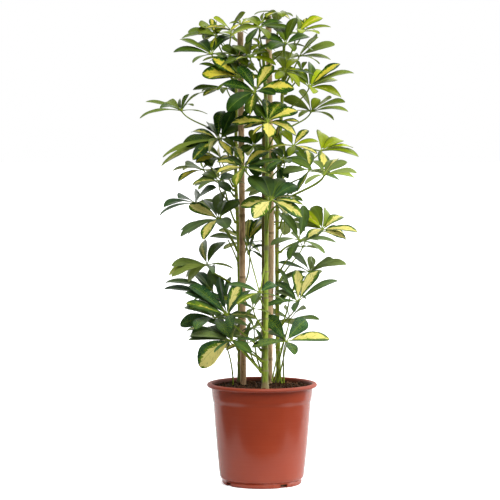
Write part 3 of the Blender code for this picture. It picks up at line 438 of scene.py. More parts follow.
# Leaves: name, stem, row where the petiole leaves the stem, hub (column, row, depth),
# axis the hub faces, reach of a leaflet in steps, leaflets, and tips read in the front view:
# column, row, share of the width that shows, below 0 from its pale side, and 1 or -1 where it
# reaches back or forward.
leafRows = [
    ("front_01", "front", 361, (232, 341, -0.085), (-0.45, -0.37, 0.81), 40, 7,
     [(198, 365, 0.95), (187, 341, 0.35), (212, 328, 0.6), (238, 327, 0.6)]),
    ("front_02", "front", 350, (227, 316, -0.075), (-0.25, -0.37, 0.89), 42, 8,
     [(184, 290, 0.6), (188, 300, 0.6), (223, 277, 0.5), (233, 288, 1.0, 1), (248, 291, 0.5),
      (242, 304, 0.5)]),
    ("front_03", "front", 372, (247, 344, -0.105), (-0.15, -0.45, 0.88), 24, 5,
     [(254, 323, 0.55), (263, 335, 0.55), (238, 337, 0.5), (251, 350, 0.3, -1)]),
    ("front_04", "front", 332, (253, 309, -0.110), (-0.10, -0.36, 0.93), 22, 6,
     [(244, 301, 0.4), (249, 295, 0.5), (256, 296, 0.4), (243, 308, 0.3), (248, 313, 0.4, -1)]),
    ("front_05", "front", 312, (260, 293, -0.130), (0.05, -0.20, 0.98), 30, 6,
     [(226, 285, 0.45), (238, 303, 0.5), (267, 285, 0.8), (252, 301, 0.5, -1), (266, 297, 0.4, 1)]),
    ("front_06", "front", 232, (271, 200, -0.145), (0.05, -0.80, 0.60), 38, 8,
     [(240, 206, 0.8), (253, 217, 0.9), (289, 213, 0.8), (303, 206, 0.8), (300, 188, 0.8), (252, 174, 0.9),
      (268, 176, 0.9), (284, 180, 0.9)]),
    ("front_07", "front", 190, (244, 168, -0.130), (-0.25, -0.42, 0.87), 34, 8,
     [(235, 147, 0.8), (262, 150, 0.7), (262, 160), (218, 162, 0.6), (222, 172), (236, 184, 0.6)]),
    ("front_08", "front", 212, (324, 175, -0.100), (0.20, -0.10, 0.97), 34, 5,
     [(347, 162, 0.5), (357, 170, 0.4), (356, 178, 0.5), (318, 174, 0.4, 1)]),
    ("front_09", "front", 184, (283, 160, -0.120), (0.25, -0.42, 0.87), 32, 8,
     [(296, 150, 0.8), (272, 150, 0.8)]),
    ("front_10", "front", 152, (267, 122, -0.165), (0.05, -0.78, 0.62), 36, 8,
     [(262, 100, 0.8), (287, 105, 0.9), (300, 115, 0.7), (295, 128, 0.6), (268, 137, 0.9), (243, 126, 0.7),
      (232, 117, 0.6), (248, 104, 0.7)]),
    ("front_11", "front", 120, (255, 92, -0.150), (-0.05, -0.70, 0.71), 36, 8,
     [(238, 66, 0.8), (272, 65, 0.8), (294, 88, 0.8), (222, 84, 0.6), (250, 114, 0.7), (227, 111, 0.9)]),
    ("front_12", "front", 104, (240, 78, -0.105), (-0.45, -0.30, 0.84), 38, 8,
     [(211, 60, 0.8), (203, 72, 0.9), (228, 56, 0.7), (248, 62, 0.7)]),
    ("front_13", "front", 82, (250, 58, -0.090), (-0.10, -0.36, 0.93), 32, 7,
     [(248, 38, 0.7), (266, 52, 0.6), (234, 45, 0.6)]),
    ("front_14", "front", 92, (284, 72, -0.095), (0.30, -0.36, 0.88), 32, 7,
     [(300, 60, 0.7), (276, 56, 0.8), (298, 84, 0.7)]),
    ("front_15", "front", 70, (285, 45, -0.080), (0.20, -0.30, 0.93), 34, 8,
     [(278, 27, 0.9), (291, 17, 0.7), (264, 37, 0.6), (270, 51, 0.6), (309, 36, 0.6)]),
    ("front_16", "front", 49, (259, 28, -0.060), (0.00, -0.30, 0.95), 34, 8,
     [(238, 20, 0.6), (236, 31, 0.5), (283, 22, 0.6), (268, 40, 0.6), (247, 45, 0.6)]),
    ("left_01", "left", 366, (220, 334, 0.020), (-0.55, -0.27, 0.79), 40, 7,
     [(186, 332, 0.4, 1), (192, 334, 0.85, -1), (228, 345, 0.5, -1)]),
    ("left_02", "left", 350, (215, 318, 0.035), (-0.50, -0.24, 0.83), 40, 8,
     [(182, 310, 0.45), (180, 325, 0.9), (206, 312, 0.7), (196, 326, 0.5, -1), (229, 332, 0.7)]),
    ("left_03", "left", 328, (213, 297, 0.075), (-0.45, -0.20, 0.87), 42, 7,
     [(165, 287, 0.3), (189, 278, 0.75), (208, 268, 0.7), (201, 309, 0.4)]),
    ("left_04", "left", 290, (207, 265, 0.010), (-0.42, -0.27, 0.87), 38, 7,
     [(168, 275, 0.5), (173, 262, 0.6), (206, 241, 0.75), (222, 243, 0.6), (181, 282, 0.6),
      (214, 270, 0.4, -1)]),
    ("left_05", "left", 264, (247, 243, 0.130), (0.00, 0.25, 0.97), 38, 7,
     [(211, 235, 0.4), (217, 230, 0.25), (250, 219, 0.6), (263, 217, 0.5), (262, 257, 0.5)]),
    ("left_06", "left", 250, (219, 219, -0.030), (-0.35, -0.37, 0.86), 40, 8,
     [(217, 194, 0.8), (238, 200, 0.5), (187, 207, 0.85), (198, 203, 0.4), (179, 229, 0.55),
      (186, 236, 0.3), (204, 237, 0.65), (228, 226, 0.8, -1)]),
    ("left_07", "left", 232, (196, 203, 0.100), (-0.50, 0.10, 0.86), 36, 7,
     [(163, 207, 0.35), (160, 214, 0.2), (178, 197, 0.9), (204, 190, 0.65), (213, 188, 0.4)]),
    ("left_08", "left", 208, (219, 181, 0.000), (-0.35, -0.21, 0.91), 32, 7,
     [(194, 185, 0.6), (202, 174, 0.7), (237, 178, 0.6)]),
    ("left_09", "left", 196, (204, 170, 0.120), (-0.40, 0.15, 0.90), 32, 7,
     [(179, 169, 0.5), (183, 178, 0.4), (202, 153, 0.7)]),
    ("left_10", "left", 166, (219, 140, -0.010), (-0.45, -0.30, 0.84), 42, 9,
     [(212, 121, 0.6), (226, 109, 0.95), (239, 128, 0.7), (232, 155, 0.6), (188, 134, 0.5),
      (163, 153, 0.55), (160, 166, 0.4), (190, 162, 0.5), (209, 152, -0.8, -1)]),
    ("left_11", "left", 143, (182, 111, 0.055), (-0.40, -0.10, 0.91), 40, 7,
     [(142, 104, 0.5), (141, 116, 0.4), (178, 96, 0.85), (199, 94, 0.35), (162, 108, 0.5, -1),
      (190, 107, 0.4, 1)]),
    ("left_16", "left", 60, (231, 31, 0.035), (-0.10, 0.05, 0.99), 27, 7,
     [(245, 14, 0.6), (211, 20, 0.5), (208, 28, 0.4)]),
    ("left_12", "left", 108, (227, 89, 0.100), (-0.30, 0.20, 0.93), 36, 8, [(194, 89, 0.5), (203, 97, 0.5)]),
    ("left_13", "left", 84, (231, 60, 0.120), (-0.10, 0.45, 0.89), 32, 7, [(222, 42, 0.7)]),
    ("left_14", "left", 80, (212, 55, 0.000), (-0.35, -0.18, 0.92), 38, 8,
     [(175, 50, 0.5), (177, 41, 0.45), (230, 36, 0.7), (202, 40, 0.95), (217, 39, 0.7)]),
    ("left_15", "left", 62, (217, 34, 0.115), (-0.30, 0.15, 0.95), 34, 7,
     [(183, 37, 0.35), (191, 33, 0.5), (199, 27, 0.7), (206, 24, 0.6)]),
    ("right_01", "right", 374, (286, 342, -0.010), (0.30, -0.33, 0.90), 42, 7,
     [(274, 319, 1.0), (303, 321, 1.0), (330, 340, 0.6), (294, 350, 0.7, -1), (263, 337, 0.5),
      (271, 348, 0.6)]),
    ("right_02", "right", 352, (290, 320, 0.090), (0.20, 0.30, 0.93), 32, 6,
     [(307, 307, 0.45), (310, 313, 0.35), (284, 305, 0.85), (276, 309, 0.5)]),
    ("right_03", "right", 330, (298, 302, -0.010), (0.30, -0.30, 0.91), 40, 7,
     [(292, 271, 0.95), (319, 272, 0.95), (338, 281, 0.5), (276, 284, 0.75), (279, 293, 0.6),
      (294, 308, 0.4, -1)]),
    ("right_04", "right", 304, (310, 272, 0.110), (0.30, 0.10, 0.95), 36, 7,
     [(290, 253, 0.5), (280, 262, 0.3), (310, 257, 0.95), (333, 259, 0.65), (346, 263, 0.5),
      (277, 284, 0.4)]),
    ("right_05", "right", 284, (303, 247, 0.140), (0.30, 0.45, 0.84), 26, 5,
     [(307, 229, 0.7), (297, 232, 0.6), (284, 252, 0.5)]),
    ("right_06", "right", 272, (299, 240, 0.000), (0.25, -0.33, 0.91), 40, 7,
     [(286, 213, 0.7), (300, 205, 0.85), (337, 243, 0.35), (321, 243, 0.35), (278, 247, 0.3),
      (280, 254, 0.6)]),
    ("right_07", "right", 252, (322, 230, 0.050), (0.50, -0.25, 0.83), 36, 8,
     [(327, 210, 0.75), (344, 217, 0.65), (357, 229, 0.5), (346, 239, 0.5), (300, 224, 0.9),
      (312, 206, 1.0), (307, 236, 0.5), (305, 213, 0.8)]),
    ("right_08", "right", 248, (285, 222, 0.150), (0.05, 0.50, 0.86), 34, 7,
     [(291, 208, 0.8), (279, 209, 0.7), (285, 236, -0.9)]),
    ("right_09", "right", 190, (309, 170, 0.000), (0.30, -0.24, 0.92), 34, 7,
     [(296, 146, 0.8), (283, 172, 0.6), (306, 150, 0.8), (297, 190, 0.5)]),
    ("right_10", "right", 180, (321, 151, 0.080), (0.45, -0.10, 0.89), 36, 8,
     [(323, 132, 0.85), (345, 141, 0.65), (358, 155, 0.35), (355, 149, 0.25), (321, 166, 0.8)]),
    ("right_11", "right", 164, (293, 146, -0.040), (0.20, -0.24, 0.95), 30, 7,
     [(281, 131, 0.9), (309, 130, 0.8), (318, 141, 0.5)]),
    ("right_12", "right", 134, (311, 112, 0.090), (0.35, 0.10, 0.93), 36, 8,
     [(297, 91, 0.75), (330, 98, 0.85), (347, 104, 0.35), (347, 110, 0.3), (284, 100, 0.75)]),
    ("right_13", "right", 116, (309, 88, -0.010), (0.35, -0.21, 0.91), 40, 9,
     [(311, 62, 0.7), (298, 69, 0.6), (342, 65, 0.55), (352, 71, 0.35), (339, 80, 0.5), (337, 93, 0.6),
      (278, 68, 0.7), (325, 71, 0.9)]),
    ("right_14", "right", 86, (299, 57, 0.080), (0.30, 0.10, 0.95), 36, 8,
     [(315, 39, 0.7), (334, 45, 0.5), (286, 66, 0.6)]),
    ("right_15", "right", 62, (297, 34, 0.020), (0.30, -0.15, 0.94), 34, 8,
     [(299, 17, 0.75), (325, 19, 0.7), (329, 26, 0.35)]),
    ("right_16", "right", 46, (278, 14, 0.030), (0.00, -0.05, 1.00), 26, 8, [(263, 18, 0.5), (291, 20, 0.5)]),
    ("back_01", "left", 150, (250, 146, 0.150), (-0.05, 0.60, 0.80), 34, 8, [(255, 131, 0.7)]),
    ("back_02", "right", 222, (268, 188, 0.170), (0.05, 0.65, 0.76), 28, 8, []),
    ("back_03", "right", 344, (276, 322, 0.170), (0.10, 0.60, 0.80), 30, 7, []),
]


# Small inner leaves, too fine for the solids, read in the same way.
innerRows = [
    ("inner_01", "left", 70, (216, 37, 0.060), (-0.20, -0.30, 0.93), 20, 7,
     [(200, 28, 0.9), (209, 20, 0.8), (224, 25, 0.8), (203, 38, 0.9), (214, 51, 0.8), (198, 35, 0.6)]),
    ("inner_02", "left", 58, (241, 25, 0.010), (0.00, -0.20, 0.98), 15, 7,
     [(229, 24, 0.6), (236, 19, 0.6), (250, 19, 0.6), (255, 24, 0.6), (231, 31, 0.6), (247, 32, 0.6)]),
    ("inner_03", "left", 84, (238, 57, -0.040), (-0.10, -0.35, 0.92), 20, 7,
     [(222, 47, 0.9), (235, 45, 0.9), (228, 64, 0.9), (247, 66, 0.9), (252, 52, 0.7)]),
    ("inner_04", "front", 68, (261, 46, -0.030), (0.00, -0.30, 0.95), 18, 7,
     [(252, 38, 0.6), (258, 62, 0.7), (268, 62, 0.8), (272, 50, 0.7), (250, 52, 0.7)]),
    ("inner_05", "front", 48, (262, 23, -0.020), (0.00, -0.30, 0.95), 15, 7,
     [(250, 18, 0.7), (254, 28, 0.9), (270, 17, 0.7), (273, 29, 0.9), (263, 14, 0.6)]),
    ("inner_06", "right", 60, (304, 28, 0.050), (0.10, -0.20, 0.97), 14, 6,
     [(297, 20, 0.8), (305, 19, 0.8), (313, 22, 0.7), (300, 38, 0.6)]),
    ("inner_07", "right", 86, (288, 71, -0.020), (0.05, -0.30, 0.95), 16, 8,
     [(278, 62, 0.6), (284, 58, 0.6), (294, 60, 0.7), (299, 72, 0.7), (292, 84, 0.6), (283, 83, 0.6),
      (276, 77, 0.6)]),
    ("inner_08", "right", 94, (301, 72, 0.040), (0.15, -0.20, 0.96), 15, 7,
     [(306, 62, 0.8), (296, 60, 0.7), (311, 72, 0.7), (304, 84, 0.7), (294, 82, 0.6)]),
    ("inner_09", "left", 130, (252, 108, 0.000), (0.00, -0.40, 0.92), 15, 7,
     [(245, 99, 0.9), (258, 98, 0.9), (243, 117, 0.8), (261, 120, 0.8)]),
    ("inner_10", "front", 172, (254, 146, 0.000), (0.00, -0.40, 0.92), 19, 7,
     [(250, 130, 1.0), (262, 132, 0.9), (242, 138, 0.8), (240, 152, 0.9), (262, 157, 0.8)]),
    ("inner_11", "right", 196, (278, 166, -0.010), (0.05, -0.40, 0.92), 17, 7,
     [(266, 172, 0.9), (290, 159, 0.8), (288, 178, 0.9), (272, 152, 0.8), (279, 182, 0.8)]),
    ("inner_12", "left", 186, (221, 158, 0.030), (-0.30, -0.20, 0.93), 25, 7,
     [(200, 150, 0.6), (196, 160, 0.7), (204, 167, 0.5), (212, 150, 0.5)]),
    ("inner_13", "left", 334, (226, 300, 0.030), (-0.20, -0.30, 0.93), 27, 8,
     [(209, 272, 0.7), (218, 276, 0.6), (226, 278, 0.6), (240, 282, 0.6), (208, 293, 0.6)]),
    ("inner_14", "front", 372, (226, 330, 0.000), (-0.25, -0.30, 0.92), 25, 8,
     [(205, 322, 0.6), (212, 312, 0.7), (235, 311, 0.6), (240, 325, 0.6), (206, 338, 0.5)]),
    ("inner_15", "front", 370, (254, 328, -0.040), (0.00, -0.35, 0.93), 16, 7,
     [(247, 318, 0.6), (262, 320, 0.6), (244, 334, 0.6), (262, 341, 0.6)]),
    ("inner_16", "right", 228, (285, 196, 0.020), (0.15, -0.30, 0.94), 18, 7,
     [(300, 190, 0.7), (303, 200, 0.7), (274, 188, 0.7), (278, 208, 0.7)]),
    ("inner_17", "left", 286, (250, 250, 0.060), (0.00, -0.30, 0.95), 18, 6,
     [(262, 245, 0.6), (246, 234, 0.6), (256, 236, 0.6), (262, 257, 0.5)]),
    ("inner_19", "left", 166, (221, 139, -0.004), (-0.30, -0.30, 0.90), 33, 8,
     [(232, 110, 0.95), (240, 124, 0.8), (206, 126, 0.7), (184, 147, 0.9, -1), (190, 158, 0.9, -1)]),
    ("inner_18", "right", 326, (291, 292, 0.030), (0.15, -0.25, 0.95), 22, 7,
     [(281, 268, 0.5), (279, 280, 0.6), (305, 276, 0.6), (278, 300, 0.6)]),
]


# Stem points with radii, upright below the soil's surface.
def stemPath(name):
    run = [(readPlace(column, row, depth), radius) for column, row, depth, radius in stemRows[name]]
    foot, radius = run[0]
    return [(Vector((foot.x, foot.y, height)), radius) for height in (stemFoot, stemUpright)] + run[1:]


# Cane points: straight from the foot through the lower reading, and eased where it bends at the middle.
def canePath(name):
    low, middle, high = [readPlace(*row) for row in caneRows[name]]
    lowWay = (middle - low).normalized()
    highWay = (high - middle).normalized()
    foot = low - lowWay * (low.z - caneFoot) / lowWay.z
    return [foot, foot + lowWay * caneStraight, middle - lowWay * caneEase, middle + highWay * caneEase,
            high]


stemRuns = {name: stemPath(name) for name in stemRows}
caneRuns = {name: canePath(name) for name in caneRows}


# Centre and radius of a run at a height, straight between its points.
def pathAt(run, height):
    for (low, lowRadius), (high, highRadius) in zip(run, run[1:]):
        if low.z <= height <= high.z:
            share = (height - low.z) / (high.z - low.z)
            return low.lerp(high, share), lowRadius + (highRadius - lowRadius) * share
    return run[-1]


# Two directions square to the axis.
def turnFrame(axis):
    side = axis.cross(Vector((0, 0, 1)))
    if side.length < 0.2:
        side = axis.cross(Vector((0, 1, 0)))
    side.normalize()
    return side, axis.cross(side).normalized()


# How leaflets are read and filled in: slopes and turns in radians, lengths in shares of the reach.
leafletRule = {
    "rollLimit": 1.1, "tipReach": (0.92, 1.04), "leastReach": 1.03, "tipSlope": -0.25,
    "slopes": (-1.2, 1.0), "firstTurn": (-3.1, 3.1), "between": (0.45, 0.55), "sink": (-0.34, 0.0),
    "slopeSteps": (-12, 20), "stepsPerUnit": 20, "restSlope": -0.2, "restWeight": 0.15,
    "drawnReach": (0.84, 0.98), "inward": 0.30, "leastShare": 0.64, "partCount": 4, "wholeCount": 9,
    "sweeps": 60, "half": (0.170, 0.205), "arch": (0.05, 0.11), "fold": (0.16, 0.30),
    "lowPart": 0.86, "lowAt": 0.44, "lowFill": 0.84,
}


# Turn of a leaflet about its own length that shows a share of its width in the front view: the angle
# whose cosine is the share, less the angle at which it faces the eye.
def leafletRoll(axis, turn, slope, shown):
    if shown is None:
        return 0
    side, up = turnFrame(axis)
    out = side * math.cos(turn) + up * math.sin(turn)
    flank = axis.cross(out)
    normal = axis * math.cos(slope) - out * math.sin(slope)
    facing = math.atan2(-flank.y, -normal.y)
    rolls = [sign * math.acos(shown) - facing for sign in (-1, 1)]
    rolls = [(roll + math.pi) % (2 * math.pi) - math.pi for roll in rolls]
    limit = leafletRule["rollLimit"]
    return max(-limit, min(limit, min(rolls, key=abs)))


# Turn, slope, reach, roll and share shown (0 where none is read) of each leaflet: the read tips first, then
# the widest gaps are filled, and neighbours are pushed apart to a least share of an even spacing. A part of
# a leaf keeps a whole leaf's spacing.
def leafletRays(leaf, hub, axis, draw):
    rule = leafletRule
    stem, (column, row, depth), steps, count, tips = leaf[1], leaf[3], leaf[5], leaf[6], leaf[7]
    spread = frontView["step"] * (1 + depth / frontView["eyeDistance"])
    reach = steps * spread
    side, up = turnFrame(axis)
    outward = hub - pathAt(stemRuns[stem], hub.z)[0]
    outward.z = 0
    outward.normalize()
    rays = []
    for tipColumn, tipRow, *more in tips:
        flat = Vector(((tipColumn - column) * spread, 0, (row - tipRow) * spread))
        full = max(reach * draw.uniform(*rule["tipReach"]), flat.length * rule["leastReach"])
        deep = math.sqrt(full * full - flat.length_squared)
        picks = [Vector((flat.x, sign * deep, flat.z)) for sign in more[1:] or (-1, 1)]
        ray = min(picks, key=lambda pick: abs(pick.dot(axis) / full - rule["tipSlope"]))
        slope = math.asin(max(-1, min(1, ray.dot(axis) / full)))
        slope = max(rule["slopes"][0], min(rule["slopes"][1], slope))
        rays.append([math.atan2(ray.dot(up), ray.dot(side)), slope, full, more[0] if more else None])
    if not rays:
        rays.append([draw.uniform(*rule["firstTurn"]), rule["tipSlope"], reach, None])
    while len(rays) < count:
        rays.sort()
        turns = [ray[0] for ray in rays] + [rays[0][0] + 2 * math.pi]
        widths = [after - before for before, after in zip(turns, turns[1:])]
        widest = widths.index(max(widths))
        turn = turns[widest] + widths[widest] * draw.uniform(*rule["between"])
        turn = (turn + math.pi) % (2 * math.pi) - math.pi
        out = side * math.cos(turn) + up * math.sin(turn)
        sink = draw.uniform(*rule["sink"])
        slopes = [step / rule["stepsPerUnit"] for step in range(*rule["slopeSteps"])]
        slope = min(slopes, key=lambda slope: abs(
            out.z * math.cos(slope) + axis.z * math.sin(slope) - sink)
            + rule["restWeight"] * abs(slope - rule["restSlope"]))
        inward = max(0, -out.dot(outward))
        full = reach * draw.uniform(*rule["drawnReach"]) * (1 - rule["inward"] * inward)
        rays.append([turn, slope, full, None])
    rays.sort()
    crown = count if count > rule["partCount"] else rule["wholeCount"]
    least = rule["leastShare"] * 2 * math.pi / crown
    for _ in range(rule["sweeps"]):
        for spot in range(count):
            after = (spot + 1) % count
            width = (rays[after][0] - rays[spot][0]) % (2 * math.pi)
            if width < least:
                rays[spot][0] -= (least - width) / 2
                rays[after][0] += (least - width) / 2
    rays.sort()
    return [(turn, slope, reach, leafletRoll(axis, turn, slope, shown), abs(shown or 0))
            for turn, slope, reach, shown in rays]


# Each leaflet as turn, slope, reach, half width, arch, fold, half width of its lower part, roll and the
# share of its width that shows.
def leafletShapes(leaf, hub, axis, draw):
    rays = leafletRays(leaf, hub, axis, draw)
    rule = leafletRule
    made = []
    for spot, (turn, slope, reach, roll, shown) in enumerate(rays):
        before = (turn - rays[spot - 1][0]) % (2 * math.pi)
        after = (rays[(spot + 1) % len(rays)][0] - turn) % (2 * math.pi)
        half = reach * draw.uniform(*rule["half"])
        arch = draw.uniform(*rule["arch"])
        fold = draw.uniform(*rule["fold"])
        room = rule["lowAt"] * reach * math.tan(min(before, after) / 2) * rule["lowFill"]
        lowHalf = min(half * rule["lowPart"], room)
        made.append((turn, slope, reach, half, arch, fold, lowHalf, roll, shown))
    return np.array(made)


# Where petioles start and how they pull: metres, and shares of the span from start to hub.
petioleRule = {"rise": 0.75, "soilRise": 1.0, "soilStart": 0.006, "start": 0.004, "outward": 0.55,
               "pull": 0.34, "hubPull": 0.03, "hubShare": 0.3}


# Corner points of the petiole's cubic curve, from the stem's surface or the soil to the hub.
def petioleCorners(leaf, hub, axis, bow):
    rule = petioleRule
    rise = rule["rise"]
    if leaf[0] in soilFeet:
        foot = readPlace(*soilFeet[leaf[0]])
        start = Vector((foot.x, foot.y, petioleFoot))
        begin = Vector((foot.x, foot.y, soilTop + rule["soilStart"]))
        out = Vector((0, 0, 0))
        rise = rule["soilRise"]
    else:
        height = readPlace(frontView["axisColumn"], leaf[2], stemRuns[leaf[1]][4][0].y).z
        centre, radius = pathAt(stemRuns[leaf[1]], height)
        out = hub - centre
        out.z = 0
        out.normalize()
        start = centre + out * (radius + gap)
        begin = start + out * rule["start"]
    span = (hub - begin).length
    sideways = Vector((-out.y, out.x, 0)) * bow
    first = begin + (out * rule["outward"] + Vector((0, 0, rise))) * span * rule["pull"] + sideways
    last = hub - axis * min(rule["hubPull"], span * rule["hubShare"]) + sideways
    return start, begin, first, last, hub


# Points of leaflets: hub + out * cos(slope) * reach * share + axis * (sin(slope) * reach * share
# + arch * 4 share (1 - share) * reach) + across and lift, both turned about the length by the roll.
def leafletPoints(hub, axis, shapes, share, across, lift):
    side, up = (np.array(way) for way in turnFrame(axis))
    hub, axis = np.array(hub), np.array(axis)
    turn, slope, reach, arch, roll = shapes.T[[0, 1, 2, 4, 7], :, None, None]
    out = side * np.cos(turn)[..., None] + up * np.sin(turn)[..., None]
    flank = np.cross(axis, out)
    normal = axis * np.cos(slope)[..., None] - out * np.sin(slope)[..., None]
    height = reach * (np.sin(slope) * share + arch * 4 * share * (1 - share))
    spine = hub + out * (reach * np.cos(slope) * share)[..., None] + axis * height[..., None]
    aside = across * np.cos(roll) - lift * np.sin(roll)
    above = across * np.sin(roll) + lift * np.cos(roll)
    return spine + flank * aside[..., None] + normal * above[..., None]


# Small moves tried: columns with rows, leans of the axis with bows of the petiole, and depths. A leaf is
# near enough once its hub, tips and petiole all lie within these metres of the solid.
nudges = [(0, 0), (0, 3), (0, -3), (3, 0), (-3, 0), (4, 4), (-4, 4), (4, -4), (-4, -4)]
leans = [(0, 0), (0.15, 0), (-0.15, 0), (0, 0.014), (0, -0.014), (0.2, 0.02), (-0.2, -0.02)]
shifts = [0, 0.008, -0.008, 0.016, -0.016, 0.024, -0.024, 0.034, -0.034, 0.044, -0.044, 0.056, -0.056]
settleRule = {"hubNear": 0.0012, "tipsAt": (0.47, 1.0), "petioleAt": (0.25, 0.5, 0.75), "stalkRoom": 0.0016,
              "enough": 0.0008}


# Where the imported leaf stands: of its small shifts, the first whose hub, tips and petiole lie on it.
def findSettled(leaf):
    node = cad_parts["leaf_" + leaf[0]]
    node.data.calc_loop_triangles()
    tree = BVHTree.FromPolygons([vertex.co for vertex in node.data.vertices],
                                [tuple(face.vertices) for face in node.data.loop_triangles])
    best = (math.inf,)
    for (aside, below), shift in itertools.product(nudges, shifts):
        column, row, depth = leaf[3]
        place = (column + aside, row + below, depth + shift)
        hub = readPlace(*place)
        if tree.find_nearest(hub)[3] > settleRule["hubNear"]:
            continue
        for lean, bow in leans:
            moved = leaf[:3] + (place,) + leaf[4:]
            axis = (Vector(leaf[4]) + Vector((lean, 0, 0))).normalized()
            shapes = leafletShapes(moved, hub, axis, random.Random(leaf[0]))
            tipsAt = np.array(settleRule["tipsAt"])[:, None]
            tips = leafletPoints(hub, axis, shapes, tipsAt, np.zeros((1, 1)), 0.0)
            corners = petioleCorners(moved, hub, axis, bow)
            middle = bezier(corners[1:], np.array(settleRule["petioleAt"]))
            far = max(tree.find_nearest(Vector(point))[3] for point in tips.reshape(-1, 3))
            stray = max(tree.find_nearest(Vector(point))[3] for point in middle)
            score = max(far, stray - settleRule["stalkRoom"])
            if score < best[0]:
                best = (score, hub, axis, shapes, corners)
            if score < settleRule["enough"]:
                return best
    return best


# Points of a cubic curve: the four corners weighted by the cubic terms of t.
def bezier(corners, t):
    a, b, c, d = (np.array(corner) for corner in corners)
    t = t[:, None]
    s = 1 - t
    return a * s ** 3 + b * 3 * s * s * t + c * 3 * s * t * t + d * t ** 3


# An inner leaf, or a part beside another, stands as read.
def placeInner(leaf):
    hub = readPlace(*leaf[3])
    axis = Vector(leaf[4]).normalized()
    shapes = leafletShapes(leaf, hub, axis, random.Random(leaf[0]))
    return 0.0, hub, axis, shapes, petioleCorners(leaf, hub, axis, 0)


settledLeaves = {leaf[0]: findSettled(leaf) for leaf in leafRows}
worst = max(settledLeaves.items(), key=lambda pair: pair[1][0])
print("leaves found; furthest from its solid:", worst[0], round(worst[1][0] * 1000, 2), "mm")
settledLeaves.update((leaf[0], placeInner(leaf)) for leaf in innerRows)


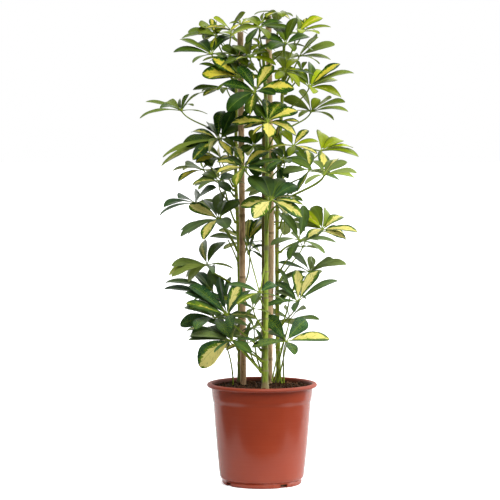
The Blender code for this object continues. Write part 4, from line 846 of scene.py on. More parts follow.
# Leaf looks: where cream, yellow, lime and plain leaflets show in the front view. Spots: column, row,
# amount of cream, warmth (0 cream, 1 yellow), lime, lean of the patch to one side and, in some, how pale
# the upper side is, 1 being as the underside.
# Lime is partly a young leaflet's colour and partly painted light, a glow where light shines through or falls
# on it.
creamSpots = [
    (213, 353, 0.80, 0.20, 0.0, 0.45), (234, 295, 0.46, 0.12, 0.0, 0.0), (204, 305, 0.10, 0.80, 0.1, 0.0),
    (237, 301, 0.20, 0.50, 0.10, 0.0), (244, 296, 0.12, 0.30, 0.25, 0.0), (296, 283, 0.62, 0.10, 0.0, -0.2),
    (310, 283, 0.62, 0.10, 0.0, 0.2), (284, 281, 0.0, 0.10, 0.20, 0.0, 0.4),
    (314, 338, 0.56, 0.35, 0.1, 0.2), (207, 211, 0.66, 0.12, 0.0, 0.0), (209, 229, 0.60, 0.45, 0.0, 0.0),
    (198, 226, 0.22, 0.45, 0.2, 0.0), (256, 203, 0.34, 0.30, 0.15, 0.2), (258, 210, 0.72, 0.08, 0.0, 0.0),
    (282, 208, 0.68, 0.12, 0.0, 0.0), (290, 203, 0.42, 0.35, 0.05, 0.1), (291, 194, 0.36, 0.45, 0.0, 0.3),
    (250, 227, 0.55, 0.30, 0.0, 0.0), (260, 226, 0.42, 0.30, 0.0, 0.0), (312, 213, 0.10, 0.80, 0.90, 0.0),
    (314, 232, 0.60, 0.20, 0.0, 0.0), (337, 222, 0.40, 0.25, 0.25, 0.0), (343, 230, 0.62, 0.25, 0.0, 0.0),
    (337, 237, 0.60, 0.20, 0.0, 0.0), (219, 61, 0.50, 0.95, 0.0, 0.0), (215, 75, 0.60, 0.95, 0.0, 0.1),
    (266, 74, 0.50, 0.60, 0.0, 0.1), (279, 88, 0.42, 0.85, 0.0, 0.3), (275, 106, 0.08, 0.80, 0.0, 0.2),
    (255, 105, 0.20, 0.70, 0.1, 0.0), (243, 118, 0.50, 0.70, 0.0, 0.0), (252, 126, 0.62, 0.65, 0.0, 0.0),
    (269, 131, 0.80, 0.60, 0.0, 0.0), (288, 118, 0.46, 0.65, 0.0, 0.0), (284, 126, 0.50, 0.65, 0.0, 0.0),
    (228, 146, 0.60, 0.90, 0.1, 0.0), (213, 145, 0.60, 0.25, 0.0, 0.0), (209, 156, 0.55, 0.80, 0.0, 0.0),
    (229, 164, 0.72, 0.50, 0.0, 0.0), (257, 156, 0.36, 0.70, 0.0, 0.3), (233, 171, 0.30, 0.60, 0.3, 0.0),
    (239, 176, 0.50, 0.50, 0.1, 0.0), (333, 71, 0.50, 0.95, 0.0, 0.0), (303, 136, 0.45, 0.60, 0.1, 0.0),
    (305, 149, 0.60, 0.40, 0.0, 0.0), (322, 158, 0.50, 0.50, 0.1, 0.0), (215, 28, 0.55, 0.95, 0.3, 0.0),
    (216, 45, 0.30, 0.80, 0.6, 0.0), (247, 29, 0.42, 0.90, 0.2, 0.0), (243, 56, 0.30, 0.90, 0.1, 0.0),
    (301, 22, 0.45, 0.90, 0.2, 0.0), (200, 150, 0.30, 0.80, 0.1, 0.3), (193, 174, 0.50, 0.80, 0.0, 0.0),
    (187, 261, 0.0, 0.0, 0.22, 0.0, 0.35), (277, 330, 0.0, 0.0, 0.0, 0.0, 0.1),
    (296, 330, 0.0, 0.0, 0.0, 0.0), (334, 262, 0.0, 0.0, 0.15, 0.0, 0.7),
    (323, 265, 0.0, 0.0, 0.10, 0.0, 0.6), (201, 299, 0.0, 0.0, 0.0, 0.0), (264, 288, 0.0, 0.0, 0.0, 0.0),
    (240, 288, 0.0, 0.0, 0.03, 0.0, 0.1), (245, 76, 0.0, 0.0, 0.0, 0.0), (310, 72, 0.0, 0.0, 0.08, 0.0),
    (273, 25, 0.0, 0.0, 0.05, 0.0), (287, 290, 0.0, 0.0, 0.0, 0.0, 0.1), (239, 300, 0.0, 0.0, 0.0, 0.0),
    (206, 140, 0.0, 0.0, 0.0, 0.0), (203, 150, 0.10, 0.8, 0.0, 0.0), (232, 84, 0.0, 0.0, 0.0, 0.0),
    (182, 272, 0.25, 0.60, 0.80, 0.0, 0.5), (183, 146, 0.0, 0.0, 0.25, 0.0, 0.8),
    (182, 153, 0.12, 0.5, 0.35, 0.0, 0.6), (236, 86, 0.0, 0.0, 0.02, 0.0), (219, 119, 0.0, 0.0, 0.0, 0.0),
    (220, 346, 0.0, 0.0, 0.02, 0.0), (242, 346, 0.0, 0.0, 0.10, 0.0), (279, 75, 0.0, 0.0, 0.45, 0.0),
    (322, 285, 0.0, 0.0, 0.02, 0.0, 0.2), (296, 103, 0.0, 0.0, 0.35, 0.0, 0.7),
    (320, 20, 0.15, 0.80, 0.75, 0.0), (322, 142, 0.05, 0.60, 0.80, 0.0), (335, 146, 0.08, 0.60, 0.80, 0.0),
    (319, 103, 0.05, 0.60, 0.65, 0.0), (318, 77, 0.05, 0.50, 0.70, 0.0), (273, 25, 0.0, 0.0, 0.05, 0.0),
    (248, 38, 0.0, 0.0, 0.05, 0.0), (304, 74, 0.0, 0.0, 0.02, 0.0), (197, 36, 0.0, 0.0, 0.10, 0.0, 0.5),
    (201, 33, 0.0, 0.0, 0.10, 0.0, 0.4), (206, 46, 0.0, 0.0, 0.02, 0.0),
    (309, 46, 0.0, 0.0, 0.15, 0.0, 0.9), (320, 50, 0.0, 0.0, 0.20, 0.0, 0.9),
    (158, 107, 0.0, 0.0, 0.0, 0.0, 0.9), (157, 113, 0.0, 0.0, 0.0, 0.0, 0.8),
    (272, 15, 0.25, 0.9, 0.3, 0.0), (278, 27, 0.0, 0.0, 0.10, 0.0), (300, 72, 0.0, 0.0, 0.12, 0.0),
    (327, 89, 0.10, 0.50, 0.60, 0.0), (272, 57, 0.05, 0.50, 0.70, 0.0), (294, 58, 0.05, 0.50, 0.70, 0.0),
]
# Leaflets whose width differs: column, row, share of the width.
widthSpots = [
    (185, 148, 0.45), (184, 156, 0.85), (197, 112, 0.50), (170, 107, 0.60), (325, 116, 0.50),
    (303, 115, 0.55), (249, 348, 0.60), (291, 347, 0.70), (211, 268, 0.50), (322, 113, 0.50),
    (181, 271, 1.15), (187, 260, 1.15), (322, 142, 1.20), (335, 146, 1.25), (309, 46, 1.8),
    (213, 353, 1.35), (337, 237, 1.4), (222, 346, 0.4),
]
# How far a spot reaches, in steps, and what depth counts for; and how the rest is drawn.
leafLook = {
    "farthest": 15.0, "depthWeight": 26.0, "middle": 0.6, "leanStep": 0.05, "leanZero": 10.0,
    "seed": 31, "farMore": 0.10, "farAt": (0.02, 0.10), "muchShare": 0.4, "little": (0.10, 0.28),
    "much": (0.35, 0.75), "warmth": 0.25, "warmthRise": 0.9, "warmthFrom": 0.55, "warmthDrawn": 0.15,
    "warmthSpan": (0.05, 1), "limeDrawn": (0.15, 1.6), "topLime": 0.25, "topAt": (0.40, 0.80),
    "limeMost": 0.9, "mostly": 0.62, "mostlyPale": 0.25, "elsePale": 2.2, "lean": 0.25,
}
# Each leaf's share of lime, how far its upper sides are as pale as its undersides, the width of its
# leaflets, and the share of them that is variegated. Young leaves near the top are limest; the lime is
# also painted light shining through them.
leafTones = {
    "front_01": (0.00, 0.25, 1.02, 0.15), "front_02": (0.00, 0.20, 0.95, 0.20),
    "front_03": (0.15, 0.25, 0.90, 0.20), "front_04": (0.20, 0.30, 0.95, 0.25),
    "front_05": (0.12, 0.25, 0.90, 0.25), "front_06": (0.05, 0.05, 1.15, 0.40),
    "front_07": (0.06, 0.10, 1.10, 0.40), "front_08": (0.25, 0.65, 0.90, 0.10),
    "front_09": (0.02, 0.10, 1.00, 0.30), "front_10": (0.02, 0.00, 1.20, 0.50),
    "front_11": (0.02, 0.00, 1.22, 0.10), "front_12": (0.12, 0.00, 1.10, 0.20),
    "front_13": (0.30, 0.10, 1.10, 0.20), "front_14": (0.45, 0.10, 1.00, 0.20),
    "front_15": (0.06, 0.00, 1.20, 0.00), "front_16": (0.34, 0.10, 1.00, 0.30),
    "left_01": (0.08, 0.25, 0.95, 0.10), "left_02": (0.00, 0.20, 1.02, 0.10),
    "left_03": (0.00, 0.12, 0.98, 0.20), "left_04": (0.15, 0.60, 1.02, 0.00),
    "left_05": (0.10, 0.30, 0.95, 0.40), "left_06": (0.00, 0.15, 1.00, 0.30),
    "left_07": (0.00, 0.35, 1.05, 0.10), "left_08": (0.08, 0.20, 1.12, 0.15),
    "left_09": (0.08, 0.15, 1.08, 0.40), "left_10": (0.02, 0.05, 0.84, 0.20),
    "left_11": (0.05, 0.60, 0.60, 0.00), "left_12": (0.10, 0.55, 0.78, 0.15),
    "left_13": (0.30, 0.20, 1.00, 0.10), "left_14": (0.12, 0.20, 0.98, 0.05),
    "left_15": (0.36, 0.10, 1.12, 0.20), "left_16": (0.50, 0.10, 1.00, 0.30),
    "right_01": (0.00, 0.10, 0.98, 0.00), "right_02": (0.20, 0.25, 0.85, 0.20),
    "right_03": (0.05, 0.20, 0.80, 0.10), "right_04": (0.12, 0.35, 0.96, 0.10),
    "right_05": (0.20, 0.25, 0.90, 0.20), "right_06": (0.08, 0.20, 0.92, 0.10),
    "right_07": (0.45, 0.05, 1.00, 0.30), "right_08": (0.25, 0.60, 0.95, 0.10),
    "right_09": (0.08, 0.15, 0.95, 0.35), "right_10": (0.75, 0.00, 1.15, 0.10),
    "right_11": (0.35, 0.10, 0.95, 0.40), "right_12": (0.28, 0.30, 1.05, 0.00),
    "right_13": (0.50, 0.15, 1.05, 0.05), "right_14": (0.40, 0.70, 1.10, 0.00),
    "right_15": (0.50, 0.20, 1.00, 0.20), "right_16": (0.16, 0.00, 1.45, 0.00),
    "inner_01": (0.30, 0.10, 1.20, 0.20), "inner_02": (0.60, 0.10, 0.90, 0.30),
    "inner_03": (0.02, 0.00, 1.20, 0.00), "inner_04": (0.65, 0.10, 1.00, 0.10),
    "inner_05": (0.20, 0.00, 1.20, 0.05), "inner_06": (0.20, 0.10, 1.00, 0.40),
    "inner_07": (0.50, 0.10, 0.85, 0.10), "inner_08": (0.25, 0.10, 1.00, 0.05),
    "inner_09": (0.02, 0.00, 1.15, 0.05), "inner_10": (0.06, 0.00, 1.20, 0.00),
    "inner_11": (0.06, 0.00, 1.15, 0.00), "inner_12": (0.12, 0.10, 1.10, 0.50),
    "inner_13": (0.03, 0.10, 0.98, 0.10), "inner_14": (0.05, 0.10, 1.02, 0.10),
    "inner_15": (0.10, 0.20, 0.90, 0.10), "inner_16": (0.06, 0.10, 0.90, 0.10),
    "inner_17": (0.10, 0.20, 0.85, 0.10), "inner_18": (0.08, 0.10, 0.95, 0.10),
    "inner_19": (0.00, 0.10, 0.92, 0.10),
}
plainTone = (0.12, 0.15, 0.95, 0.20)


# A spot takes the free leaflet whose middle is nearest in the front view, nearer ones before farther.
# The rest are drawn: more variegation on the far side, more lime towards the top, the lime partly
# young-leaf colour and partly painted light shining through.
def chooseLooks():
    rule = leafLook
    keys, columns, rows, depths, heights = [], [], [], [], []
    for name, (_, hub, axis, shapes, _) in settledLeaves.items():
        middle = leafletPoints(hub, axis, shapes, np.full((1, 1), rule["middle"]), np.zeros((1, 1)), 0.0)
        column, row = frontPlace(middle[:, 0, 0])
        keys += [(name, spot) for spot in range(len(shapes))]
        columns.append(column)
        rows.append(row)
        depths.append(middle[:, 0, 0, 1])
        heights.append(middle[:, 0, 0, 2])
    columns, rows, depths, heights = (np.concatenate(part) for part in (columns, rows, depths, heights))
    draw = np.random.default_rng(rule["seed"])
    count = len(keys)
    tones = np.array([leafTones.get(name, plainTone) for name, _ in keys])
    kind = draw.uniform(0, 1, count)
    variegated = tones[:, 3] + rule["farMore"] * smoothStep(*rule["farAt"], depths)
    little = draw.uniform(*rule["little"], count)
    much = draw.uniform(*rule["much"], count)
    amount = np.where(kind > variegated, 0.0, np.where(kind > rule["muchShare"] * variegated, little, much))
    warmth = rule["warmth"] + rule["warmthRise"] * (heights - rule["warmthFrom"])
    warmth = np.clip(warmth + draw.normal(0, rule["warmthDrawn"], count), *rule["warmthSpan"])
    lime = tones[:, 0] * draw.uniform(*rule["limeDrawn"], count)
    # More lime towards the top: partly young growth, partly painted light shining through the leaves.
    lime = lime + rule["topLime"] * draw.uniform(0, 1, count) ** 3 * smoothStep(*rule["topAt"], heights)
    lime = np.clip(lime, 0, rule["limeMost"])
    mostly = draw.uniform(0, 1, count) < rule["mostly"]
    sage = np.clip(tones[:, 1] * np.where(mostly, rule["mostlyPale"], rule["elsePale"]), 0, 1)
    lean = draw.uniform(-rule["lean"], rule["lean"], count)
    free = np.ones(count, bool)
    for column, row, cream, warm, bright, aside, *paler in creamSpots:
        away = np.hypot(columns - column, rows - row)
        cost = np.where(free & (away <= rule["farthest"]), away + rule["depthWeight"] * depths, np.inf)
        spot = int(np.argmin(cost))
        if np.isinf(cost[spot]):
            print("no leaflet for the spot at", column, row)
            continue
        free[spot] = False
        amount[spot], warmth[spot], lime[spot], lean[spot] = cream, warm, bright, aside
        sage[spot] = paler[0] if paler else 0.0
    width = np.ones(count)
    for column, row, share in widthSpots:
        width[np.argmin(np.hypot(columns - column, rows - row) + rule["depthWeight"] * depths)] = share
    table = {}
    for spot, (name, _) in enumerate(keys):
        table.setdefault(name, []).append((amount[spot], warmth[spot], lime[spot], lean[spot], sage[spot],
                                           width[spot]))
    return {name: np.array(values) for name, values in table.items()}


# Materials. Low down the plain greens and the underside turn paler and greyer: partly older leaves'
# colour, partly painted sheen.
leafPaint = {
    "dark": (0.006, 0.031, 0.004), "deep": (0.018, 0.064, 0.007), "mid": (0.108, 0.205, 0.010),
    "lowDark": (0.014, 0.052, 0.018), "lowDeep": (0.046, 0.118, 0.038),
    "cream": (0.800, 0.720, 0.260), "yellow": (0.640, 0.540, 0.040), "lime": (0.440, 0.535, 0.006),
    "underGreen": (0.170, 0.235, 0.052), "lowUnder": (0.240, 0.305, 0.115),
    "underCream": (0.540, 0.500, 0.170), "vein": (0.250, 0.350, 0.050),
    "stalk": (0.360, 0.450, 0.050), "stalkShade": (0.150, 0.225, 0.024),
}
stemPaint = {"dot": (0.42, 0.38, 0.20), "scar": (0.30, 0.24, 0.12)}
canePaint = {"stain": (0.180, 0.080, 0.040), "speck": (0.075, 0.035, 0.020), "joint": (0.20, 0.115, 0.055)}
soilPaint = {"dark": (0.015, 0.008, 0.004), "brown": (0.105, 0.050, 0.024), "lump": (0.200, 0.086, 0.040),
             "fleck": (0.400, 0.270, 0.140)}
potPaint = {"deep": (0.288, 0.0355, 0.0096), "body": (0.326, 0.043, 0.0125), "ring": (0.36, 0.070, 0.034),
            "dust": (0.38, 0.14, 0.09), "innerDark": (0.055, 0.018, 0.009)}
tiePaint = {"dark": (0.030, 0.022, 0.014), "light": (0.085, 0.060, 0.038)}
# Pattern scales: of noises, a pair being across and upward; and heights in metres where a look begins
# and is full.
leafPattern = {
    "streak": (9.0, 1.1), "veinSlant": -0.30, "veins": 11.0, "mottle": 55.0, "speckle": 900.0,
    "lowSheenFade": (0.66, 0.76), "creamReach": 0.95, "ragged": 1.40, "border": 0.12, "midStrength": 0.85,
    "limeAtMargin": 0.45, "sideStrength": 0.04, "gloss": 0.24, "underGloss": 0.22, "relief": 0.0004,
}
stemPattern = {"fibre": (260.0, 22.0), "patch": 34.0, "dots": 420.0, "barkFull": 0.205,
               "darker": (0.34, 0.22), "relief": 0.0006}
canePattern = {"fibre": (700.0, 25.0), "stain": (60.0, 17.0), "speck": 260.0, "relief": 0.0005}
soilPattern = {"grain": 240.0, "lump": 60.0, "relief": 0.0016}
potPattern = {"rings": (3.0, 420.0), "flow": 9.0, "scuff": (60.0, 520.0), "dusty": (0.035, 0.0),
              "innerWall": (0.0931, 0.08), "innerFrom": (0.1960, 0.2000), "innerDark": (0.2205, 0.2120),
              "mattLip": (0.2128, 0.2142), "relief": 0.0012}


# Leaf: cream where the distance from the midrib, read along the side veins, stays under an uneven
# reach; a mid green border round it; dark green beyond, paler and greyer low down as older leaves and
# painted sheen; lime over the greens, weaker at the margin, partly young-leaf colour and partly painted
# light shining through; paler below; veins and stalk over all.
def leafMaterial():
    paint = leafPaint
    pattern = leafPattern
    made, tree, shader, coordinates = startMaterial("leaf_blade", Specular_IOR_Level=0.06)
    along, across, seed = splitVector(tree, attribute(tree, "place").outputs["Vector"])
    cream, warmth, packed = splitVector(tree, attribute(tree, "look").outputs["Vector"])
    lime = calc(tree, "FRACT", packed)
    lean = calc(tree, "MULTIPLY", calc(tree, "SUBTRACT", calc(tree, "FLOOR", packed), leafLook["leanZero"]),
                leafLook["leanStep"])
    under = attribute(tree, "under").outputs["Fac"]
    wide = calc(tree, "ABSOLUTE", across)
    sided = calc(tree, "MULTIPLY", calc(tree, "SIGN", across), 3.0)
    veinSpot = calc(tree, "MULTIPLY_ADD", wide, pattern["veinSlant"], along)
    streakAlong = calc(tree, "MULTIPLY", veinSpot, pattern["streak"][0])
    streakAcross = calc(tree, "MULTIPLY", wide, pattern["streak"][1])
    streak = joinVector(tree, streakAlong, streakAcross, calc(tree, "ADD", seed, sided))
    rough = calc(tree, "SUBTRACT", noise(tree, streak, 1.0, 5.0, 0.72), 0.5)
    island = calc(tree, "SUBTRACT", noise(tree, joinVector(tree, calc(tree, "MULTIPLY", along, 3.5), across,
                                                           seed), 1.3, 3.0), 0.5)
    there = ranged(tree, cream, 0.02, 0.12)
    ends = calc(tree, "MULTIPLY", ranged(tree, along, 0.02, 0.22, 0.45, 1.0),
                ranged(tree, along, 0.72, 1.0, 1.0, 0.42))
    reach = calc(tree, "MULTIPLY", calc(tree, "MULTIPLY", cream, pattern["creamReach"]), ends)
    apart = calc(tree, "ABSOLUTE", calc(tree, "SUBTRACT", across, calc(tree, "MULTIPLY", lean, ends)))
    ragged = calc(tree, "MULTIPLY", calc(tree, "MULTIPLY_ADD", island, 0.60, rough), there)
    inside = calc(tree, "SUBTRACT", calc(tree, "MULTIPLY_ADD", ragged, pattern["ragged"], reach), apart)
    creamShare = calc(tree, "MULTIPLY", ranged(tree, inside, -0.01, 0.03), there)
    second = calc(tree, "SUBTRACT", noise(tree, streak, 0.45, 3.0, 0.6), 0.42)
    border = calc(tree, "MULTIPLY_ADD", second, 1.3, calc(tree, "ADD", inside, pattern["border"]))
    nearCream = ranged(tree, there, 0.0, 1.0, 0.20, 1.0)
    midShare = calc(tree, "MULTIPLY", ranged(tree, border, -0.02, 0.05), nearCream)
    mottle = noise(tree, coordinates, pattern["mottle"], 4.0)
    paler = calc(tree, "MULTIPLY_ADD", wide, -0.18, mottle)
    # Painted sheen in part: below these heights the greens and the underside are paler and greyer.
    high = ranged(tree, splitVector(tree, coordinates)["Z"], *pattern["lowSheenFade"])
    green = blend(tree, ranged(tree, paler, 0.22, 0.60), blend(tree, high, paint["lowDark"], paint["dark"]),
                  blend(tree, high, paint["lowDeep"], paint["deep"]))
    green = blend(tree, calc(tree, "MULTIPLY", midShare, pattern["midStrength"]), green, paint["mid"])
    # Lime: partly young-leaf colour, partly painted light shining through the leaflet.
    limeHere = calc(tree, "MULTIPLY", lime, ranged(tree, wide, 0.62, 0.92, 1.0, pattern["limeAtMargin"]))
    green = blend(tree, limeHere, green, paint["lime"])
    pale = blend(tree, warmth, paint["cream"], paint["yellow"])
    pale = blend(tree, ranged(tree, noise(tree, streak, 2.6, 3.0), 0.56, 0.70, 0.0, 0.70), pale, paint["mid"])
    blade = blend(tree, creamShare, green, pale)
    below = blend(tree, high, paint["lowUnder"], paint["underGreen"])
    below = blend(tree, calc(tree, "MULTIPLY", creamShare, 0.85), below, paint["underCream"])
    below = blend(tree, calc(tree, "MULTIPLY", lime, 0.6), below, paint["lime"])
    blade = blend(tree, under, blade, below)
    fromRib = calc(tree, "MULTIPLY", wide, calc(tree, "ADD", along, 0.35))
    ribLine = ranged(tree, fromRib, 0.018, 0.055, 1.0, 0.0)
    comb = calc(tree, "PINGPONG", calc(tree, "MULTIPLY", veinSpot, pattern["veins"]), 0.5)
    sideLine = ranged(tree, comb, 0.0, 0.13, 1.0, 0.0)
    veins = calc(tree, "ADD", calc(tree, "MULTIPLY", ribLine, ranged(tree, under, 0.0, 1.0, 0.34, 0.60)),
                 calc(tree, "MULTIPLY", sideLine, pattern["sideStrength"]))
    blade = blend(tree, calc(tree, "MINIMUM", veins, 0.7), blade, paint["vein"])
    stalk = ranged(tree, along, -0.03, 0.06, 1.0, 0.0)
    stalkColour = blend(tree, noise(tree, coordinates, 140.0, 3.0), paint["stalkShade"], paint["stalk"])
    colour = blend(tree, stalk, blade, stalkColour)
    speckle = noise(tree, coordinates, pattern["speckle"], 2.0)
    gloss = calc(tree, "MULTIPLY_ADD", mottle, 0.16, pattern["gloss"])
    gloss = calc(tree, "ADD", gloss, calc(tree, "MULTIPLY", under, pattern["underGloss"]))
    lines = calc(tree, "ADD", ribLine, calc(tree, "MULTIPLY", sideLine, 0.35))
    lines = calc(tree, "MULTIPLY", lines, ranged(tree, under, 0.0, 1.0, -0.9, 0.9))
    height = calc(tree, "ADD", lines, calc(tree, "MULTIPLY", speckle, 0.15))
    height = calc(tree, "MULTIPLY_ADD", mottle, 0.6, height)
    finishMaterial(tree, shader, colour, gloss, height, pattern["relief"], 0.8)
    return made


# Green stem: streaks along it, tan bark creeping up from the foot, painted shade darkening it low
# down, pale dots and scars.
def stemMaterial(name, young, old, bark, barkTop):
    made, tree, shader, coordinates = startMaterial(name, Specular_IOR_Level=0.45)
    scar = splitVector(tree, attribute(tree, "place").outputs["Vector"])["Z"]
    z = splitVector(tree, coordinates)["Z"]
    fibre = noise(tree, stretched(tree, coordinates, *stemPattern["fibre"]), 1.0, 4.0)
    patch = noise(tree, coordinates, stemPattern["patch"], 4.0)
    green = blend(tree, ranged(tree, fibre, 0.35, 0.68), young, old)
    green = blend(tree, ranged(tree, patch, 0.52, 0.72, 0.0, 0.6), green, old)
    lowDown = ranged(tree, z, barkTop, stemPattern["barkFull"], 0.0, 0.75)
    barked = calc(tree, "ADD", lowDown, calc(tree, "SUBTRACT", patch, 0.5))
    colour = blend(tree, ranged(tree, barked, 0.35, 0.62), green, bark)
    # Painted shade: the stem's colour darkens towards the soil, under the leaves.
    colour = blend(tree, ranged(tree, z, *stemPattern["darker"], 0.0, 0.55), colour, old, "MULTIPLY")
    cells = addNode(tree, "TexVoronoi", {"Vector": coordinates, "Scale": stemPattern["dots"]})
    dots = cells.outputs["Distance"]
    colour = blend(tree, ranged(tree, dots, 0.10, 0.24, 0.35, 0.0), colour, stemPaint["dot"])
    colour = blend(tree, ranged(tree, scar, 0.25, 0.8, 0.0, 0.75), colour, stemPaint["scar"])
    gloss = calc(tree, "MULTIPLY_ADD", patch, 0.2, 0.36)
    relief = calc(tree, "ADD", fibre, calc(tree, "MULTIPLY", dots, 0.4))
    finishMaterial(tree, shader, colour, gloss, relief, stemPattern["relief"], 0.7)
    return made


# Dry cane: fine lengthwise fibres, long brown stains and dark specks, darker at its joints.
def caneMaterial(name, dry, pale):
    made, tree, shader, coordinates = startMaterial(name, Specular_IOR_Level=0.3)
    joint = splitVector(tree, attribute(tree, "place").outputs["Vector"])["Z"]
    fibre = noise(tree, stretched(tree, coordinates, *canePattern["fibre"]), 1.0, 3.0)
    stain = noise(tree, stretched(tree, coordinates, *canePattern["stain"]), 1.0, 4.0, 0.65)
    colour = blend(tree, fibre, dry, pale)
    colour = blend(tree, ranged(tree, stain, 0.55, 0.69, 0.0, 0.65), colour, canePaint["stain"])
    speck = noise(tree, coordinates, canePattern["speck"], 3.0)
    colour = blend(tree, ranged(tree, speck, 0.60, 0.72, 0.0, 0.6), colour, canePaint["speck"])
    colour = blend(tree, ranged(tree, joint, 0.2, 0.9, 0.0, 0.7), colour, canePaint["joint"])
    gloss = calc(tree, "MULTIPLY_ADD", stain, 0.25, 0.38)
    height = calc(tree, "MULTIPLY_ADD", speck, 0.5, fibre)
    finishMaterial(tree, shader, colour, gloss, height, canePattern["relief"], 0.7)
    return made


# Peat mix: near black brown with reddish fibre and a few light bits.
def soilMaterial(name, light):
    made, tree, shader, coordinates = startMaterial(name, Specular_IOR_Level=0.1)
    grain = noise(tree, coordinates, soilPattern["grain"], 5.0, 0.7)
    lump = noise(tree, coordinates, soilPattern["lump"], 4.0)
    colour = blend(tree, ranged(tree, grain, 0.38, 0.68), soilPaint["dark"], soilPaint["brown"])
    colour = blend(tree, ranged(tree, lump, 0.50, 0.66, 0.0, 0.7), colour, soilPaint["lump"])
    colour = blend(tree, ranged(tree, grain, 0.62, 0.76, 0.0, light), colour, soilPaint["fleck"])
    gloss = ranged(tree, grain, 0.3, 0.7, 0.95, 0.62)
    height = calc(tree, "MULTIPLY_ADD", lump, 1.5, grain)
    finishMaterial(tree, shader, colour, gloss, height, soilPattern["relief"])
    return made


# Moulded plastic: even terracotta with a faint flow pattern, turning marks, scuffs and dust low down;
# darker down the inner wall towards the soil, and matt at the lip.
def potMaterial():
    made, tree, shader, coordinates = startMaterial("pot_plastic", Specular_IOR_Level=0.5)
    x, y, z = splitVector(tree, coordinates)
    rings = noise(tree, stretched(tree, coordinates, *potPattern["rings"]), 1.0, 2.0)
    flow = noise(tree, coordinates, potPattern["flow"], 4.0)
    scuff = noise(tree, stretched(tree, coordinates, *potPattern["scuff"]), 1.0, 4.0, 0.7)
    colour = blend(tree, ranged(tree, flow, 0.3, 0.7), potPaint["deep"], potPaint["body"])
    colour = blend(tree, ranged(tree, rings, 0.45, 0.65, 0.0, 0.08), colour, potPaint["ring"])
    lowDown = ranged(tree, z, *potPattern["dusty"], 0.0, 0.5)
    dust = calc(tree, "MULTIPLY", lowDown, ranged(tree, flow, 0.35, 0.65))
    dust = calc(tree, "ADD", dust, ranged(tree, scuff, 0.68, 0.80, 0.0, 0.15))
    colour = blend(tree, calc(tree, "MULTIPLY", dust, 0.25), colour, potPaint["dust"])
    span = calc(tree, "SQRT", calc(tree, "MULTIPLY_ADD", x, x, calc(tree, "MULTIPLY", y, y)))
    atFloor, taper = potPattern["innerWall"]
    wallMiddle = calc(tree, "MULTIPLY_ADD", z, taper, atFloor)
    inside = ranged(tree, calc(tree, "SUBTRACT", span, wallMiddle), -0.0005, 0.0005, 1.0, 0.0)
    inside = calc(tree, "MULTIPLY", inside, ranged(tree, z, *potPattern["innerFrom"]))
    # Darker down the inner wall towards the soil.
    innerDark = calc(tree, "MULTIPLY", inside, ranged(tree, z, *potPattern["innerDark"], 0.25, 0.85))
    colour = blend(tree, innerDark, colour, potPaint["innerDark"])
    gloss = calc(tree, "ADD", ranged(tree, scuff, 0.5, 0.8, 0.19, 0.27), calc(tree, "MULTIPLY", dust, 0.2))
    gloss = calc(tree, "ADD", gloss, ranged(tree, z, *potPattern["mattLip"], 0.0, 0.40))
    height = calc(tree, "ADD", calc(tree, "MULTIPLY", rings, 0.004), flow)
    finishMaterial(tree, shader, colour, gloss, height, potPattern["relief"], 0.35)
    return made


# Dark binding: grainy brown.
def tieMaterial():
    made, tree, shader, coordinates = startMaterial("tie_cord", Specular_IOR_Level=0.4)
    grain = noise(tree, coordinates, 600.0, 3.0)
    colour = blend(tree, grain, tiePaint["dark"], tiePaint["light"])
    gloss = calc(tree, "MULTIPLY_ADD", grain, 0.3, 0.4)
    finishMaterial(tree, shader, colour, gloss, grain, 0.0004)
    return made


leafFinish = leafMaterial()
soilFinish = soilMaterial("soil_peat", 0.5)
crumbFinish = soilMaterial("soil_crumb", 0.9)
print("materials")


# Leaves.
blade = {
    "stalkEnd": 0.10, "stalkHalf": 0.0011, "waist": 1.36, "fullness": 0.58, "thickness": 0.00034,
    "rib": 0.0006, "ribHalf": 0.0013, "wave": 0.035, "droop": 0.035, "bend": 0.022, "curl": 0.24,
    "across": (-1, -0.8, -0.52, -0.24, 0, 0.24, 0.52, 0.8, 1),
    "overlap": 0.80, "roll": (0.10, 0.24), "rollDrawn": 0.10, "edgeOn": 0.81, "faceOn": 0.24,
    "ringsBlade": 14, "stalkShares": (0.15, 0.45, 0.8, 1.0), "stalkPlaces": (-0.9, -0.55, -0.2, 0.0),
    "droopFrom": 0.72,
}
stalkRun = {"rows": 26, "turns": 8, "base": 0.0021, "end": 0.0013, "sheath": 0.75, "sheathLength": 0.007,
            "sunk": 0.0012, "hubSwell": 0.35, "hubLength": 0.004}
hubKnob = {"radius": 0.0029, "turns": 10, "rows": 6, "wide": 1.05, "tall": 0.75}


